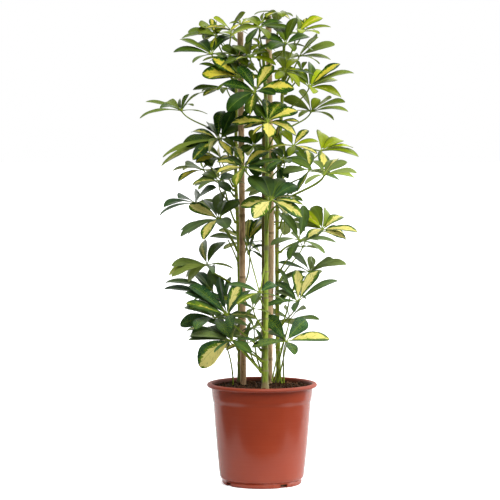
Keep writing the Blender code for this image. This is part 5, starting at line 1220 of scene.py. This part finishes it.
# A leaflet's half width at t of its blade: half * sin(pi t^waist)^fullness, less where it is seen edge on,
# and its stalk's width before.
# Its section: a shallow fold, edges that wave and curl down, and a rib below that fades to the tip.
def bladeRings(hub, axis, shapes, wider, draw):
    count = len(shapes)
    t = 0.5 * (1 - np.cos(np.pi * np.arange(1, blade["ringsBlade"]) / blade["ringsBlade"]))
    share = np.concatenate([blade["stalkEnd"] * np.array(blade["stalkShares"]),
                            blade["stalkEnd"] + (1 - blade["stalkEnd"]) * t])
    t = np.concatenate([blade["stalkPlaces"], t])
    inBlade = np.clip(t, 0, 1)
    top = np.array(blade["across"], float)
    v = np.concatenate([top, top[-2:0:-1]])
    isUnder = np.concatenate([np.zeros(len(top)), np.ones(len(top) - 2)])
    half, fold, lowHalf, reach, shown = (shapes[:, k][:, None, None] for k in (3, 5, 6, 2, 8))
    wider = wider * (blade["edgeOn"] + blade["faceOn"] * shown)
    free = lowHalf / (leafletRule["lowPart"] * half)
    free = free + (1 - free) * np.maximum(blade["overlap"], smoothStep(0.25, 0.65, inBlade))[None, :, None]
    outline = np.sin(np.pi * inBlade ** blade["waist"]) ** blade["fullness"]
    width = np.hypot(wider * half * free * outline[None, :, None],
                     blade["stalkHalf"] * (1 - smoothStep(0.0, 0.5, inBlade))[None, :, None])
    across = v * width
    bulge = np.sqrt(np.clip(1 - v * v, 0, 1))
    leafy = smoothStep(0.0, 0.14, inBlade)[None, :, None]
    body = blade["thickness"] * bulge * (1 - 0.4 * inBlade[None, :, None])
    rib = blade["rib"] * (1 - inBlade[None, :, None]) * np.exp(-(across / blade["ribHalf"]) ** 2)
    thick = (1 - leafy) * blade["stalkHalf"] * bulge + leafy * (body + isUnder * rib)
    distance = np.abs(across)
    lift = fold * leafy * (distance - blade["curl"] * distance ** 2 / half)
    phase = draw.uniform(0, 2 * np.pi, (count, 1, 1))
    waves = draw.uniform(1.2, 2.4, (count, 1, 1))
    strength = draw.uniform(0.3, 1.0, (count, 1, 1)) * blade["wave"] * half * leafy
    rise = share[None, :, None]
    lift = lift + strength * v * v * np.sin(2 * np.pi * waves * rise + phase + 1.3 * np.sign(v))
    droop = draw.uniform(0.2, 1.0, (count, 1, 1)) * blade["droop"] * reach
    lift = lift - droop * np.clip((rise - blade["droopFrom"]) / (1 - blade["droopFrom"]), 0, 1) ** 2
    sweep = draw.uniform(-1, 1, (count, 1, 1)) * blade["bend"] * reach
    across = across + sweep * np.sin(np.pi * rise) * leafy
    turned = draw.choice([-1, 1]) * draw.uniform(*blade["roll"], (count, 1, 1))
    unread = (shapes[:, 7] == 0)[:, None, None]
    turned = (turned + draw.normal(0, blade["rollDrawn"], (count, 1, 1))) * unread
    lift = lift + across * turned * leafy
    lift = lift + np.where(isUnder > 0, -thick, thick)
    lift = np.where(np.abs(v) > 0.99, lift - thick, lift)
    rings = leafletPoints(hub, axis, shapes, rise, across, lift)
    ends = leafletPoints(hub, axis, shapes, np.array([[0.0], [1.0]]), np.zeros((count, 2, 1)),
                         np.concatenate([np.zeros((count, 1, 1)), -droop], axis=1))
    return rings, ends[:, 0, 0], ends[:, 1, 0], t, v, isUnder


# A closed run in the stalk's colour: its place along the leaflet is below the blade's start.
def stalkPart(body, low, high, cell):
    mark = np.zeros(body.shape)
    mark[..., 0] = -1.0
    edge = np.array([[-1.0, 0.0, 0.0]])
    plain = np.zeros(body.shape)
    plain[..., 2] = leafLook["leanZero"]
    plainEnd = np.array([[0.0, 0.0, leafLook["leanZero"]]])
    return closedRuns(body, low[None], high[None], cell[None], (mark, edge, edge),
                      (plain, plainEnd, plainEnd))


# One leaf: its leaflets, a knob where they meet, and a petiole along its curve, thicker at its foot and hub.
# Lean and lime go into one number: whole steps of lean, with lime as the fraction.
def makeLeaf(leaf, looks):
    name = leaf[0]
    _, hub, axis, shapes, corners = settledLeaves[name]
    draw = np.random.default_rng(sum(ord(letter) * (spot + 3) for spot, letter in enumerate(name)))
    wider = leafTones.get(name, plainTone)[2] * looks[:, 5, None, None]
    rings, starts, ends, t, v, isUnder = bladeRings(hub, axis, shapes, wider, draw)
    count = len(rings)
    cells = mapCells(count + 2, 4)
    seeds = draw.uniform(0, 60, count)
    place = np.stack(np.broadcast_arrays(t[None, :, None], v, seeds[:, None, None]), -1)
    endPlace = [np.stack([np.full(count, end), np.zeros(count), seeds], 1) for end in (-1.0, 1.0)]
    packed = np.round(looks[:, 3] / leafLook["leanStep"]) + leafLook["leanZero"]
    packed = packed + np.clip(looks[:, 2], 0, 0.95)
    look = np.stack([looks[:, 0], looks[:, 1], packed], 1)
    ringLook = np.broadcast_to(look[:, None, None], rings.shape)
    under = np.maximum(np.maximum(isUnder, np.roll(isUnder, -1)), looks[:, 4, None, None])
    parts = [closedRuns(rings, starts, ends, cells[:count], (place, *endPlace), (ringLook, look, look),
                        under)]
    start, begin, first, last, end = corners
    sunk = np.array(start) + (np.array(start) - np.array(begin)) / (begin - start).length * stalkRun["sunk"]
    curve = bezier((begin, first, last, end), np.linspace(0, 1, stalkRun["rows"]))
    path = np.concatenate([[sunk, np.array(start.lerp(begin, 0.5))], curve])
    reach = lengthAlong(path)
    radii = np.interp(reach / reach[-1], [0, 1], [stalkRun["base"], stalkRun["end"]])
    if name not in soilFeet:
        radii = radii * (1 + stalkRun["sheath"] * np.exp(-(reach / stalkRun["sheathLength"]) ** 2))
    fromHub = (reach[-1] - reach) / stalkRun["hubLength"]
    radii = radii * (1 + stalkRun["hubSwell"] * np.exp(-fromHub ** 2))
    bendPlane = np.cross(path[-1] - path[0], [0, 0, 1])
    bendPlane /= np.linalg.norm(bendPlane)
    tube = pathRings(path, radii, stalkRun["turns"], bendPlane)[None]
    knob = hubKnob["radius"]
    turn = np.pi * (np.arange(hubKnob["rows"]) + 1) / (hubKnob["rows"] + 1)
    side, up = (np.array(way) for way in turnFrame(axis))
    normal, centre = np.array(axis), np.array(hub)
    angle = fullTurn(hubKnob["turns"])
    ray = side * np.cos(angle)[:, None] + up * np.sin(angle)[:, None]
    wide, tall = hubKnob["wide"], hubKnob["tall"]
    ball = (centre + knob * (ray[None] * np.sin(turn)[:, None, None] * wide
                             - normal * tall * np.cos(turn)[:, None, None]))[None]
    poles = centre - normal * knob * tall, centre + normal * knob * tall
    for body, low, high, cell in ((tube, path[0], path[-1], cells[count]), (ball, *poles, cells[count + 1])):
        parts.append(stalkPart(body, low, high, cell))
    piece = makePiece("umbrella_leaf_" + name, parts, leafFinish)
    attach(piece, "root")
    if "leaf_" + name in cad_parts:
        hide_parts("leaf_" + name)


# Stalks whose leaf is hidden: foot, end, each as column, row and depth, and how far they bow upward.
bareStalks = {"rows": 20, "turns": 8, "base": 0.0018, "end": 0.0014}
bareRows = [
    ((265, 377, -0.058), (233, 342, -0.084), 0.00), ((265, 363, -0.057), (240, 344, 0.015), 0.04),
    ((265, 376, -0.058), (241, 346, 0.020), -0.03), ((274, 383, 0.020), (284, 343, -0.008), 0.02),
    ((282, 384, 0.030), (276, 347, 0.052), 0.00), ((278, 383, 0.015), (287, 343, -0.009), -0.02),
    ((272, 382, 0.000), (279, 350, 0.053), 0.02), ((239, 222, 0.057), (259, 292, -0.128), 0.03),
    ((266, 262, -0.046), (260, 292, -0.128), 0.06), ((238, 262, 0.060), (228, 240, 0.020), 0.05),
]


# Each runs straight from foot to end, raised in between by its bow times its length.
def makeBareStalks():
    parts = []
    cells = mapCells(len(bareRows), 4)
    for (foot, end, bow), cell in zip(bareRows, cells):
        low = readPlace(*foot)
        high = readPlace(*end)
        rise = Vector((0, 0, bow * (high - low).length))
        path = bezier((low, low.lerp(high, 0.33) + rise, low.lerp(high, 0.67) + rise, high),
                      np.linspace(0, 1, bareStalks["rows"]))
        radii = np.linspace(bareStalks["base"], bareStalks["end"], bareStalks["rows"])
        parts.append(stalkPart(pathRings(path, radii, bareStalks["turns"], (0, 1, 0))[None],
                               path[0], path[-1], cell))
    piece = makePiece("umbrella_leaf_stalks", parts, leafFinish)
    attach(piece, "root")


# Parts of leaves that stand beside another: the leaf as above, with only its read tips, and the look its
# leaflets share: amount of cream, warmth, lime, lean, how pale as the underside, share of the width.
besideRows = [
    (("beside_01", "front", 212, (324, 174, -0.096), (0.20, -0.30, 0.93), 27, 3,
      [(347, 162, 0.9), (331, 160, 0.7), (313, 161, 0.8)]), (0.0, 0.5, 0.15, 0.0, 0.5, 0.85)),
    (("beside_02", "right", 134, (311, 112, 0.080), (0.35, -0.20, 0.91), 22, 2,
      [(318, 98, 0.95), (289, 103, 0.5)]), (0.05, 0.6, 0.50, 0.0, 0.2, 1.3)),
    (("beside_03", "right", 304, (310, 272, 0.100), (0.30, -0.10, 0.95), 19, 2,
      [(312, 257, 0.95), (322, 268, 0.5)]), (0.0, 0.2, 0.10, 0.0, 0.7, 1.3)),
    (("beside_04", "left", 290, (207, 265, -0.012), (-0.42, -0.27, 0.87), 35, 2,
      [(171, 276, 0.7), (186, 284, 0.8)]), (0.0, 0.5, 0.42, 0.0, 0.7, 0.8)),
    (("beside_05", "left", 250, (220, 218, -0.034), (-0.35, -0.37, 0.86), 28, 2,
      [(239, 202, 0.8), (226, 200, 0.6)]), (0.0, 0.3, 0.10, 0.0, 0.1, 1.3)),
    (("beside_06", "left", 190, (212, 169, 0.020), (-0.25, -0.30, 0.92), 16, 4,
      [(203, 158, 0.9), (214, 159, 0.8), (225, 172, 0.7), (203, 178, 0.5)]), (0.0, 0.5, 0.10, 0.0, 0.1, 1.1)),
    (("beside_07", "left", 222, (219, 160, 0.010), (-0.20, -0.30, 0.93), 22, 2,
      [(200, 154, 0.5), (232, 158, 0.6)]), (0.45, 0.7, 0.10, 0.0, 0.0, 0.9)),
    (("beside_08", "right", 200, (285, 158, -0.030), (0.10, -0.40, 0.91), 20, 3,
      [(277, 142, 0.9), (272, 126, 0.8), (298, 164, 0.7)]), (0.0, 0.5, 0.20, 0.0, 0.1, 0.9)),
    (("beside_09", "front", 150, (280, 122, -0.120), (0.20, -0.50, 0.84), 20, 2,
      [(299, 122, 0.6), (276, 138, 0.6)]), (0.30, 0.7, 0.05, 0.0, 0.0, 0.9)),
    (("beside_10", "front", 152, (266, 124, -0.150), (0.05, -0.60, 0.80), 24, 2,
      [(243, 128, 0.7), (252, 135, 0.5)]), (0.60, 0.65, 0.0, 0.0, 0.0, 0.8)),
    (("beside_11", "front", 190, (246, 167, -0.120), (0.10, -0.42, 0.90), 20, 2,
      [(264, 163, 0.9), (261, 174, 1.0)]), (0.05, 0.6, 0.05, 0.0, 0.0, 1.5)),
    (("beside_12", "left", 264, (248, 242, 0.110), (0.00, -0.10, 0.99), 26, 2,
      [(250, 220, 0.9), (263, 220, 0.9)]), (0.45, 0.3, 0.05, 0.0, 0.0, 1.2)),
    (("beside_13", "right", 252, (322, 231, 0.045), (0.50, -0.25, 0.83), 26, 2,
      [(346, 238, 0.8), (306, 235, 0.6)]), (0.60, 0.2, 0.0, 0.0, 0.0, 0.9)),
    (("beside_14", "front", 361, (229, 341, -0.078), (-0.45, -0.37, 0.81), 40, 2,
      [(187, 341, 0.4), (208, 329, 0.5)]), (0.0, 0.2, 0.05, 0.0, 0.4, 0.9)),
    (("beside_15", "right", 86, (299, 57, 0.070), (0.30, -0.10, 0.95), 26, 2,
      [(318, 37, 0.6), (311, 45, 0.6)]), (0.0, 0.5, 0.35, 0.0, 0.6, 0.8)),
    (("beside_16", "left", 84, (228, 72, 0.020), (-0.35, -0.30, 0.88), 28, 2,
      [(201, 62, 0.5), (206, 81, 0.4)]), (0.0, 0.5, 0.10, 0.0, 0.1, 0.8)),
    (("beside_17", "left", 143, (182, 111, 0.050), (-0.40, -0.10, 0.91), 20, 2,
      [(189, 94, 0.7), (179, 99, 0.7)]), (0.0, 0.5, 0.0, 0.0, 0.3, 0.9)),
    (("beside_18", "left", 250, (222, 220, -0.020), (-0.35, -0.37, 0.86), 38, 2,
      [(180, 228, 0.45), (198, 237, 0.3)]), (0.0, 0.4, 0.05, 0.0, 0.1, 0.7)),
    (("beside_19", "front", 232, (270, 199, -0.135), (0.05, -0.60, 0.80), 34, 2,
      [(303, 204, 0.5), (297, 199, 0.3)]), (0.35, 0.3, 0.10, 0.0, 0.0, 0.8)),
    (("beside_20", "front", 350, (226, 314, -0.060), (-0.25, -0.37, 0.89), 40, 2,
      [(186, 291, 0.6), (197, 305, 0.5)]), (0.0, 0.5, 0.03, 0.0, 0.0, 0.8)),
    (("beside_21", "front", 190, (243, 167, -0.120), (-0.25, -0.42, 0.87), 28, 2,
      [(217, 161, 0.6), (223, 167, 0.4)]), (0.55, 0.5, 0.05, 0.0, 0.0, 0.8)),
    (("beside_22", "left", 328, (212, 290, 0.060), (-0.45, -0.20, 0.87), 42, 2,
      [(165, 283, 0.4), (188, 272, 0.4)]), (0.0, 0.4, 0.03, 0.0, 0.2, 0.8)),
]

looks = chooseLooks()
for leaf in leafRows + innerRows:
    makeLeaf(leaf, looks[leaf[0]])
for leaf, look in besideRows:
    settledLeaves[leaf[0]] = placeInner(leaf)
    makeLeaf(leaf, np.tile(look, (len(leaf[7]), 1)))
makeBareStalks()
leaflets = sum(len(shapes) for _, _, _, shapes, _ in settledLeaves.values())
print("leaves and parts:", len(settledLeaves), "leaflets:", leaflets)


# Stems.
stemShape = {
    "turns": 20, "spacing": 0.003, "window": 0.04, "swell": 0.16, "swellHeight": 0.0045,
    "scar": 0.0022, "scarAbove": 0.003, "flare": 0.34, "flareHeight": 0.012, "joints": 14,
    "jointsFrom": 0.24, "jointsEnd": 0.03, "oval": 0.035, "ripple": 0.02,
}
# Young and old green, bark, and the height the bark fades by.
stemColours = {
    "front": ((0.520, 0.630, 0.080), (0.220, 0.340, 0.030), (0.440, 0.300, 0.160), 0.270),
    "left": ((0.480, 0.570, 0.075), (0.170, 0.250, 0.026), (0.300, 0.230, 0.110), 0.235),
    "right": ((0.450, 0.580, 0.060), (0.100, 0.180, 0.016), (0.300, 0.240, 0.110), 0.235),
}


# A stem: rings along its path, flared at the soil, swollen at each petiole and at drawn joints between,
# with a scar above each. The rings are a little oval, with a ripple.
def makeStem(name):
    draw = np.random.default_rng(len(name) * 7 + 1)
    points, sizes = zip(*stemRuns[name])
    path, _, radii = evenPath(points, sizes, stemShape["spacing"], stemShape["window"])
    height = path[:, 2]
    column = frontView["axisColumn"]
    depth = stemRuns[name][4][0].y
    joints = [readPlace(column, leaf[2], depth).z for leaf in leafRows
              if leaf[1] == name and leaf[0] not in soilFeet]
    drawn = draw.uniform(stemShape["jointsFrom"], path[-1, 2] - stemShape["jointsEnd"], stemShape["joints"])
    joints = np.array(joints + list(drawn))
    away = (height[:, None] - joints) / stemShape["swellHeight"]
    radii = radii * (1 + stemShape["swell"] * np.exp(-away ** 2).max(1))
    low = (height - soilTop) / stemShape["flareHeight"]
    radii = radii * (1 + stemShape["flare"] * np.exp(-low ** 2))
    angle = fullTurn(stemShape["turns"])
    oval = stemShape["oval"] * np.sin(2 * angle[None] + 9 * height[:, None])
    uneven = 1 + oval + stemShape["ripple"] * np.sin(5 * angle[None] - 31 * height[:, None])
    rings = pathRings(path, radii[:, None] * uneven, stemShape["turns"], (0, 1, 0))[None]
    above = height[:, None] - joints - stemShape["scarAbove"]
    scar = np.exp(-(above / stemShape["scar"]) ** 2).max(1)
    place = np.stack(np.broadcast_arrays(angle[None, None], height[None, :, None], scar[None, :, None]), -1)
    ends = [np.array([[0.0, end, 0.0]]) for end in (height[0], height[-1])]
    top = path[-1] + (path[-1] - path[-2]) / np.linalg.norm(path[-1] - path[-2]) * radii[-1]
    parts = [closedRuns(rings, path[:1], top[None], mapCells(1, 1), (place, *ends))]
    skin = stemMaterial("stem_skin_" + name, *stemColours[name])
    piece = makePiece("green_stem_" + name, parts, skin)
    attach(piece, "root")
    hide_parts("stem_" + name)


for name in stemRows:
    makeStem(name)
print("stems")

# Canes.
cane = {"radius": 0.0066, "turns": 16, "spacing": 0.004, "window": 0.10, "jointSpacing": 0.145,
        "swell": 0.10, "groove": 0.05, "ridge": 0.0030, "grooveAbove": 0.007, "bore": 0.0022,
        "boreDepth": 0.008, "rim": 0.0005, "rimRise": 0.0004, "uneven": 0.02}
# Dry and pale colour of each; the middle cane, behind the front stem, is coloured near black as
# painted shade.
caneFinish = {
    "left": caneMaterial("cane_brown", (0.58, 0.34, 0.17), (0.84, 0.58, 0.36)),
    "right": caneMaterial("cane_skin", (0.68, 0.42, 0.22), (0.92, 0.68, 0.42)),
    "middle": caneMaterial("cane_painted_shade", (0.11, 0.10, 0.03), (0.22, 0.20, 0.06)),
}


# A cane: rings of even radius with a swollen ridge and a groove above it at each joint, and a bored top.
def makeCane(name, seed):
    draw = np.random.default_rng(seed)
    path, at, radii = evenPath(caneRuns[name], [cane["radius"]] * 5, cane["spacing"], cane["window"])
    joints = draw.uniform(0.02, 0.08) + np.cumsum(draw.uniform(0.85, 1.15, 9)) * cane["jointSpacing"]
    away = at[:, None] - joints
    ridge = np.exp(-(away / cane["ridge"]) ** 2).max(1)
    groove = np.exp(-((away - cane["grooveAbove"]) / cane["ridge"]) ** 2).max(1)
    radii = radii * (1 + cane["swell"] * ridge - cane["groove"] * groove)
    angle = fullTurn(cane["turns"])
    uneven = 1 + cane["uneven"] * np.sin(3 * angle[None] + seed + 12 * at[:, None])
    rings = pathRings(path, radii[:, None] * uneven, cane["turns"], (0, 1, 0))
    ahead = (path[-1] - path[-2]) / np.linalg.norm(path[-1] - path[-2])
    spoke = (rings[-1] - path[-1]) / radii[-1]
    rim = [path[-1] + spoke * (cane["radius"] - cane["rim"]) + ahead * cane["rimRise"],
           path[-1] + spoke * cane["bore"] + ahead * cane["rimRise"],
           path[-1] + spoke * cane["bore"] * 0.9 - ahead * cane["boreDepth"]]
    rings = np.concatenate([rings, rim])[None]
    mark = np.concatenate([ridge, [0.0, 1.0, 1.0]])
    level = np.zeros((1, len(mark), 1))
    place = np.stack(np.broadcast_arrays(angle[None, None], level, mark[None, :, None]), -1)
    ends = np.zeros((1, 3)), np.array([[0.0, 0.0, 1.0]])
    low = path[:1]
    high = (path[-1] - ahead * cane["boreDepth"])[None]
    piece = makePiece("tonkin_cane_" + name, [closedRuns(rings, low, high, mapCells(1, 1), (place, *ends))],
                      caneFinish[name])
    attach(piece, "root")
    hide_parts("cane_" + name)


for seed, name in enumerate(caneRows):
    makeCane(name, seed + 5)
print("canes")

# Tie.
tie = {"cord": 0.0011, "turns": 10, "rows": 96, "loops": 1.16, "climb": 0.0026, "flat": 1.5,
       "depth": 0.04, "ease": 0.0004, "stemRoom": 1.1, "loose": 0.006, "hang": 0.8}


# The tie: a cord that runs round stem and cane as round a belt, climbs a little and ends in a loose tail.
def makeTie():
    height = readPlace(frontView["axisColumn"], tieRow, tie["depth"]).z
    stemCentre, stemRadius = pathAt(stemRuns["right"], height)
    caneCentre = pathAt([(point, cane["radius"]) for point in caneRuns["right"]], height)[0]
    line = np.array((stemCentre - caneCentre).to_2d())
    line /= np.linalg.norm(line)
    square = np.array([-line[1], line[0]])
    corners = []
    ends = ((stemCentre, stemRadius * tie["stemRoom"], -90), (caneCentre, cane["radius"], 90))
    for centre, radius, first in ends:
        turn = np.radians(first + np.linspace(0, 180, 25))
        ray = np.cos(turn)[:, None] * line + np.sin(turn)[:, None] * square
        corners.append(np.array(centre.to_2d()) + ray * (radius + tie["cord"] + tie["ease"]))
    belt = np.concatenate(corners)
    belt = np.concatenate([belt, belt[:1]])
    reach = lengthAlong(belt)
    at = np.linspace(0, tie["loops"], tie["rows"])
    spot = (at % 1.0) * reach[-1]
    flat = np.stack([np.interp(spot, reach, belt[:, k]) for k in range(2)], 1)
    loose = smoothStep(1.0, tie["loops"], at) * tie["loose"]
    outward = flat - flat.mean(0)
    flat = flat + outward / np.linalg.norm(outward, axis=1)[:, None] * loose[:, None]
    heights = height + (at - 0.5) * tie["climb"] - loose * tie["hang"]
    path = np.concatenate([flat, heights[:, None]], axis=1)
    rings = pathRings(path, np.full(len(path), tie["cord"]), tie["turns"], (0, 0, 1))
    rings[..., 2] = path[:, None, 2] + (rings[..., 2] - path[:, None, 2]) * tie["flat"]
    parts = [closedRuns(rings[None], path[:1], path[-1:], mapCells(1, 1))]
    piece = makePiece("cord_tie", parts, tieMaterial())
    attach(piece, "root")
    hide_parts("tie")


makeTie()
print("tie")

# Soil.
soil = {"turns": 150, "rows": 46, "edge": 0.1078, "crowding": 0.8, "relief": 0.0090,
        "waves": (0.045, 0.004, 60), "stillFrom": (0.09, 0.108)}
crumb = {"count": 1500, "within": 0.104, "size": (0.0007, 0.0022), "bigShare": 0.10, "big": 2.3,
         "sit": 0.25, "long": (0.9, 1.9), "wide": (0.7, 1.2), "tall": (0.45, 0.9), "uneven": (0.75, 1.2)}
fibre = {"count": 170, "within": 0.100, "limit": 0.104, "length": (0.005, 0.018), "bend": 0.35,
         "lift": 0.0008, "arch": 0.0022, "radius": (0.00018, 0.0005)}
# Radius and height of the mound, and of the side and base below it.
soilProfile = ((0, 0.2140), (0.035, 0.2137), (0.075, 0.2130), (0.1084, 0.2108))
soilWall = ((0.1064, 0.1862), (0.1030, 0.1830), (0.0881, 0.0214), (0.0842, 0.0152), (0.0832, 0.0033),
            (0.040, 0.0033))


# The surface's height: the mound read from its profile plus uneven waves, still at the wall.
def soilHeight(x, y):
    span = np.hypot(x, y)
    mound = np.interp(span, *zip(*soilProfile))
    uneven = waveField(3, x, y, *soil["waves"])
    return mound + soil["relief"] * uneven * (1 - smoothStep(*soil["stillFrom"], span))


# The soil: rings closer towards the wall over its uneven top, then its side and base.
def makeSoil():
    angle = fullTurn(soil["turns"])
    spans = soil["edge"] * (np.arange(1, soil["rows"] + 1) / soil["rows"]) ** soil["crowding"]
    wall = np.array(soilWall)
    x = spans[:, None] * np.cos(angle)
    y = spans[:, None] * np.sin(angle)
    top = np.stack([x, y, soilHeight(x, y)], -1)
    rings = np.concatenate([top, turnedRings(wall, angle)])[None]
    middle = np.array([[0, 0, soilHeight(np.zeros(1), np.zeros(1))[0]]])
    base = np.array([[0, 0, wall[-1, 1]]])
    piece = makePiece("peat_soil", [closedRuns(rings, middle, base, mapCells(1, 1))], soilFinish)
    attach(piece, "root")
    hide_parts("soil")


# Crumbs: balls of drawn length, width and height, each point moved in or out, turned at random, on the soil.
def crumbRuns(draw):
    count = crumb["count"]
    span = crumb["within"] * draw.uniform(0, 1, count) ** 0.5
    angle = draw.uniform(0, 2 * np.pi, count)
    x, y = span * np.cos(angle), span * np.sin(angle)
    size = draw.uniform(*crumb["size"], count)
    size = size * np.where(draw.uniform(0, 1, count) < crumb["bigShare"], crumb["big"], 1.0)
    centre = np.stack([x, y, soilHeight(x, y) + size * crumb["sit"]], 1)
    drawn = [draw.uniform(*crumb[way], count) for way in ("long", "wide", "tall")]
    stretch = size[:, None] * np.stack(drawn, 1)
    basis = np.linalg.qr(draw.normal(0, 1, (count, 3, 3)))[0]
    tilt = np.pi * np.array([1, 2, 3]) / 4
    turn = np.arange(6) * np.pi / 3
    girth, level = np.sin(tilt)[:, None], np.cos(tilt)[:, None]
    ball = np.stack(np.broadcast_arrays(girth * np.cos(turn), girth * np.sin(turn), level), -1)
    ball = ball[None] * draw.uniform(*crumb["uneven"], (count, 3, 6, 1)) * stretch[:, None, None]
    rings = np.einsum("nrtk,nkj->nrtj", ball, basis) + centre[:, None, None]
    poles = [np.einsum("nk,nkj->nj", stretch * np.array([0, 0, sign]), basis) + centre for sign in (1, -1)]
    return closedRuns(rings, poles[0], poles[1], mapCells(count, 40, 0.001))


# Fibres: thin three-sided runs that arch over the soil, each bent a drawn amount.
def fibreRuns(draw):
    count = fibre["count"]
    span = fibre["within"] * draw.uniform(0, 1, count) ** 0.5
    angle = draw.uniform(0, 2 * np.pi, count)
    heading = draw.uniform(0, 2 * np.pi, count)
    length = draw.uniform(*fibre["length"], count)
    step = np.linspace(-0.5, 0.5, 6)
    bend = draw.normal(0, fibre["bend"], count)
    turn = heading[:, None] + bend[:, None] * step * 2
    x = (span * np.cos(angle))[:, None] + length[:, None] * step * np.cos(turn)
    y = (span * np.sin(angle))[:, None] + length[:, None] * step * np.sin(turn)
    inside = np.minimum(1, fibre["limit"] / np.hypot(x, y))
    x, y = x * inside, y * inside
    arch = draw.uniform(0, fibre["arch"], count)[:, None]
    z = soilHeight(x, y) + fibre["lift"] + arch * (1 - 4 * step ** 2)
    path = np.stack([x, y, z], -1)
    radius = draw.uniform(*fibre["radius"], count)
    turn = fullTurn(3)
    cross = np.stack([-np.sin(heading), np.cos(heading), np.zeros(count)], 1)
    ray = cross[:, None, None] * np.cos(turn)[:, None] + np.array([0, 0, 1.0]) * np.sin(turn)[:, None]
    rings = path[:, :, None] + ray * radius[:, None, None, None]
    return closedRuns(rings, path[:, 0], path[:, -1], mapCells(count, 14, 0.001))


# One piece of crumbs and fibres.
def makeCrumbs():
    draw = np.random.default_rng(12)
    piece = makePiece("soil_crumbs", [crumbRuns(draw), fibreRuns(draw)], crumbFinish, 60)
    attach(piece, "root")


makeSoil()
makeCrumbs()
print("soil")

# Pot.
pot = {"turns": 144, "drainTurn": -57, "drainWidth": 0.018, "drainHeight": 0.0082, "drainReach": 0.0865,
       "drainDepth": 0.0110, "corner": 0.0012, "cornerAgain": 0.0005, "spacing": 0.012, "sharp": 40}
# Radius and height: the inside floor and wall, the outside from the lip down, and the underside.
potFloor = [(0.028, 0.0030), (0.056, 0.0030)]
potInner = [(0.0836, 0.0030), (0.0846, 0.0150), (0.0884, 0.0210), (0.1034, 0.1828), (0.1069, 0.1860),
            (0.1084, 0.2045), (0.1098, 0.2196)]
potOuter = [(0.1130, 0.2218), (0.1184, 0.2212), (0.1207, 0.2190), (0.1209, 0.2160), (0.1198, 0.2140),
            (0.1178, 0.2134), (0.1158, 0.2142), (0.1130, 0.2142), (0.1119, 0.2124), (0.1111, 0.2040),
            (0.1093, 0.1880), (0.1070, 0.1796), (0.1026, 0.1220), (0.0989, 0.0790), (0.0944, 0.0355),
            (0.0926, 0.0190), (0.0912, 0.0142), (0.0888, 0.0120), (0.0866, 0.0116), (0.0862, 0.0104),
            (0.0875, 0.0094), (0.0876, 0.0050), (0.0868, 0.0016), (0.0850, 0.0)]
potBase = [(0.0770, 0.0), (0.0755, 0.0011), (0.040, 0.0011), (0.0385, 0.0004), (0.020, 0.0004)]


# A profile with its corners cut: each corner gives two points, a little way along each side of it.
def cutCorners(profile, away):
    profile = np.array(profile, float)
    edge = np.diff(profile, axis=0)
    length = np.linalg.norm(edge, axis=1)[:, None]
    step = np.minimum(away, length * 0.3) / length
    made = np.empty((2 * len(edge), 2))
    made[0::2] = profile[:-1] + edge * step
    made[1::2] = profile[1:] - edge * step
    return np.concatenate([profile[:1], made[1:-1], profile[-1:]])


# Four drain slots cut at the foot by boxes, a quarter turn apart.
def cutDrains(piece):
    cutters = []
    for quarter in range(4):
        turn = math.radians(pot["drainTurn"] + 90 * quarter)
        corner = np.array(list(itertools.product((-0.5, 0.5), repeat=3)))
        corner = corner * (pot["drainDepth"], pot["drainWidth"], 2 * pot["drainHeight"])
        corner[:, 0] += pot["drainReach"]
        place = np.stack([corner[:, 0] * math.cos(turn) - corner[:, 1] * math.sin(turn),
                          corner[:, 0] * math.sin(turn) + corner[:, 1] * math.cos(turn), corner[:, 2]], 1)
        faces = [(0, 1, 3, 2), (4, 6, 7, 5), (0, 4, 5, 1), (2, 3, 7, 6), (0, 2, 6, 4), (1, 5, 7, 3)]
        mesh = bpy.data.meshes.new("cutter")
        mesh.from_pydata(place.tolist(), [], faces)
        cutter = bpy.data.objects.new("cutter", mesh)
        bpy.context.scene.collection.objects.link(cutter)
        cut = piece.modifiers.new("drain", "BOOLEAN")
        cut.operation = "DIFFERENCE"
        cut.solver = "EXACT"
        cut.object = cutter
        cutters.append(cutter)
    bpy.context.view_layer.update()
    mesh = bpy.data.meshes.new_from_object(piece.evaluated_get(bpy.context.evaluated_depsgraph_get()))
    piece.modifiers.clear()
    piece.data = mesh
    mesh.name = "nursery_pot"
    mesh.shade_smooth()
    mesh.set_sharp_from_angle(angle=math.radians(pot["sharp"]))
    mesh.uv_layers.remove(mesh.uv_layers["OFBake"])
    for cutter in cutters:
        bpy.data.objects.remove(cutter, do_unlink=True)


# The pot: its profile turned round the upright axis, then its drain slots.
def makePot():
    profile = cutCorners(cutCorners(potInner + potOuter, pot["corner"]), pot["cornerAgain"])
    length = lengthAlong(profile)
    extra = np.arange(0, length[-1], pot["spacing"])
    spot = np.sort(np.concatenate([length, extra]))
    spot = spot[np.concatenate([[True], np.diff(spot) > 1e-5])]
    profile = np.stack([np.interp(spot, length, profile[:, k]) for k in range(2)], 1)
    profile = np.concatenate([potFloor, profile, potBase])
    angle = fullTurn(pot["turns"])
    rings = turnedRings(profile, angle)[None]
    floor, base = (np.array([[0, 0, edge[1]]]) for edge in (profile[0], profile[-1]))
    parts = [closedRuns(rings, floor, base, mapCells(1, 1))]
    piece = makePiece("nursery_pot", parts, potMaterial(), pot["sharp"])
    cutDrains(piece)
    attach(piece, "root")
    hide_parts("pot")


makePot()
print("pot")
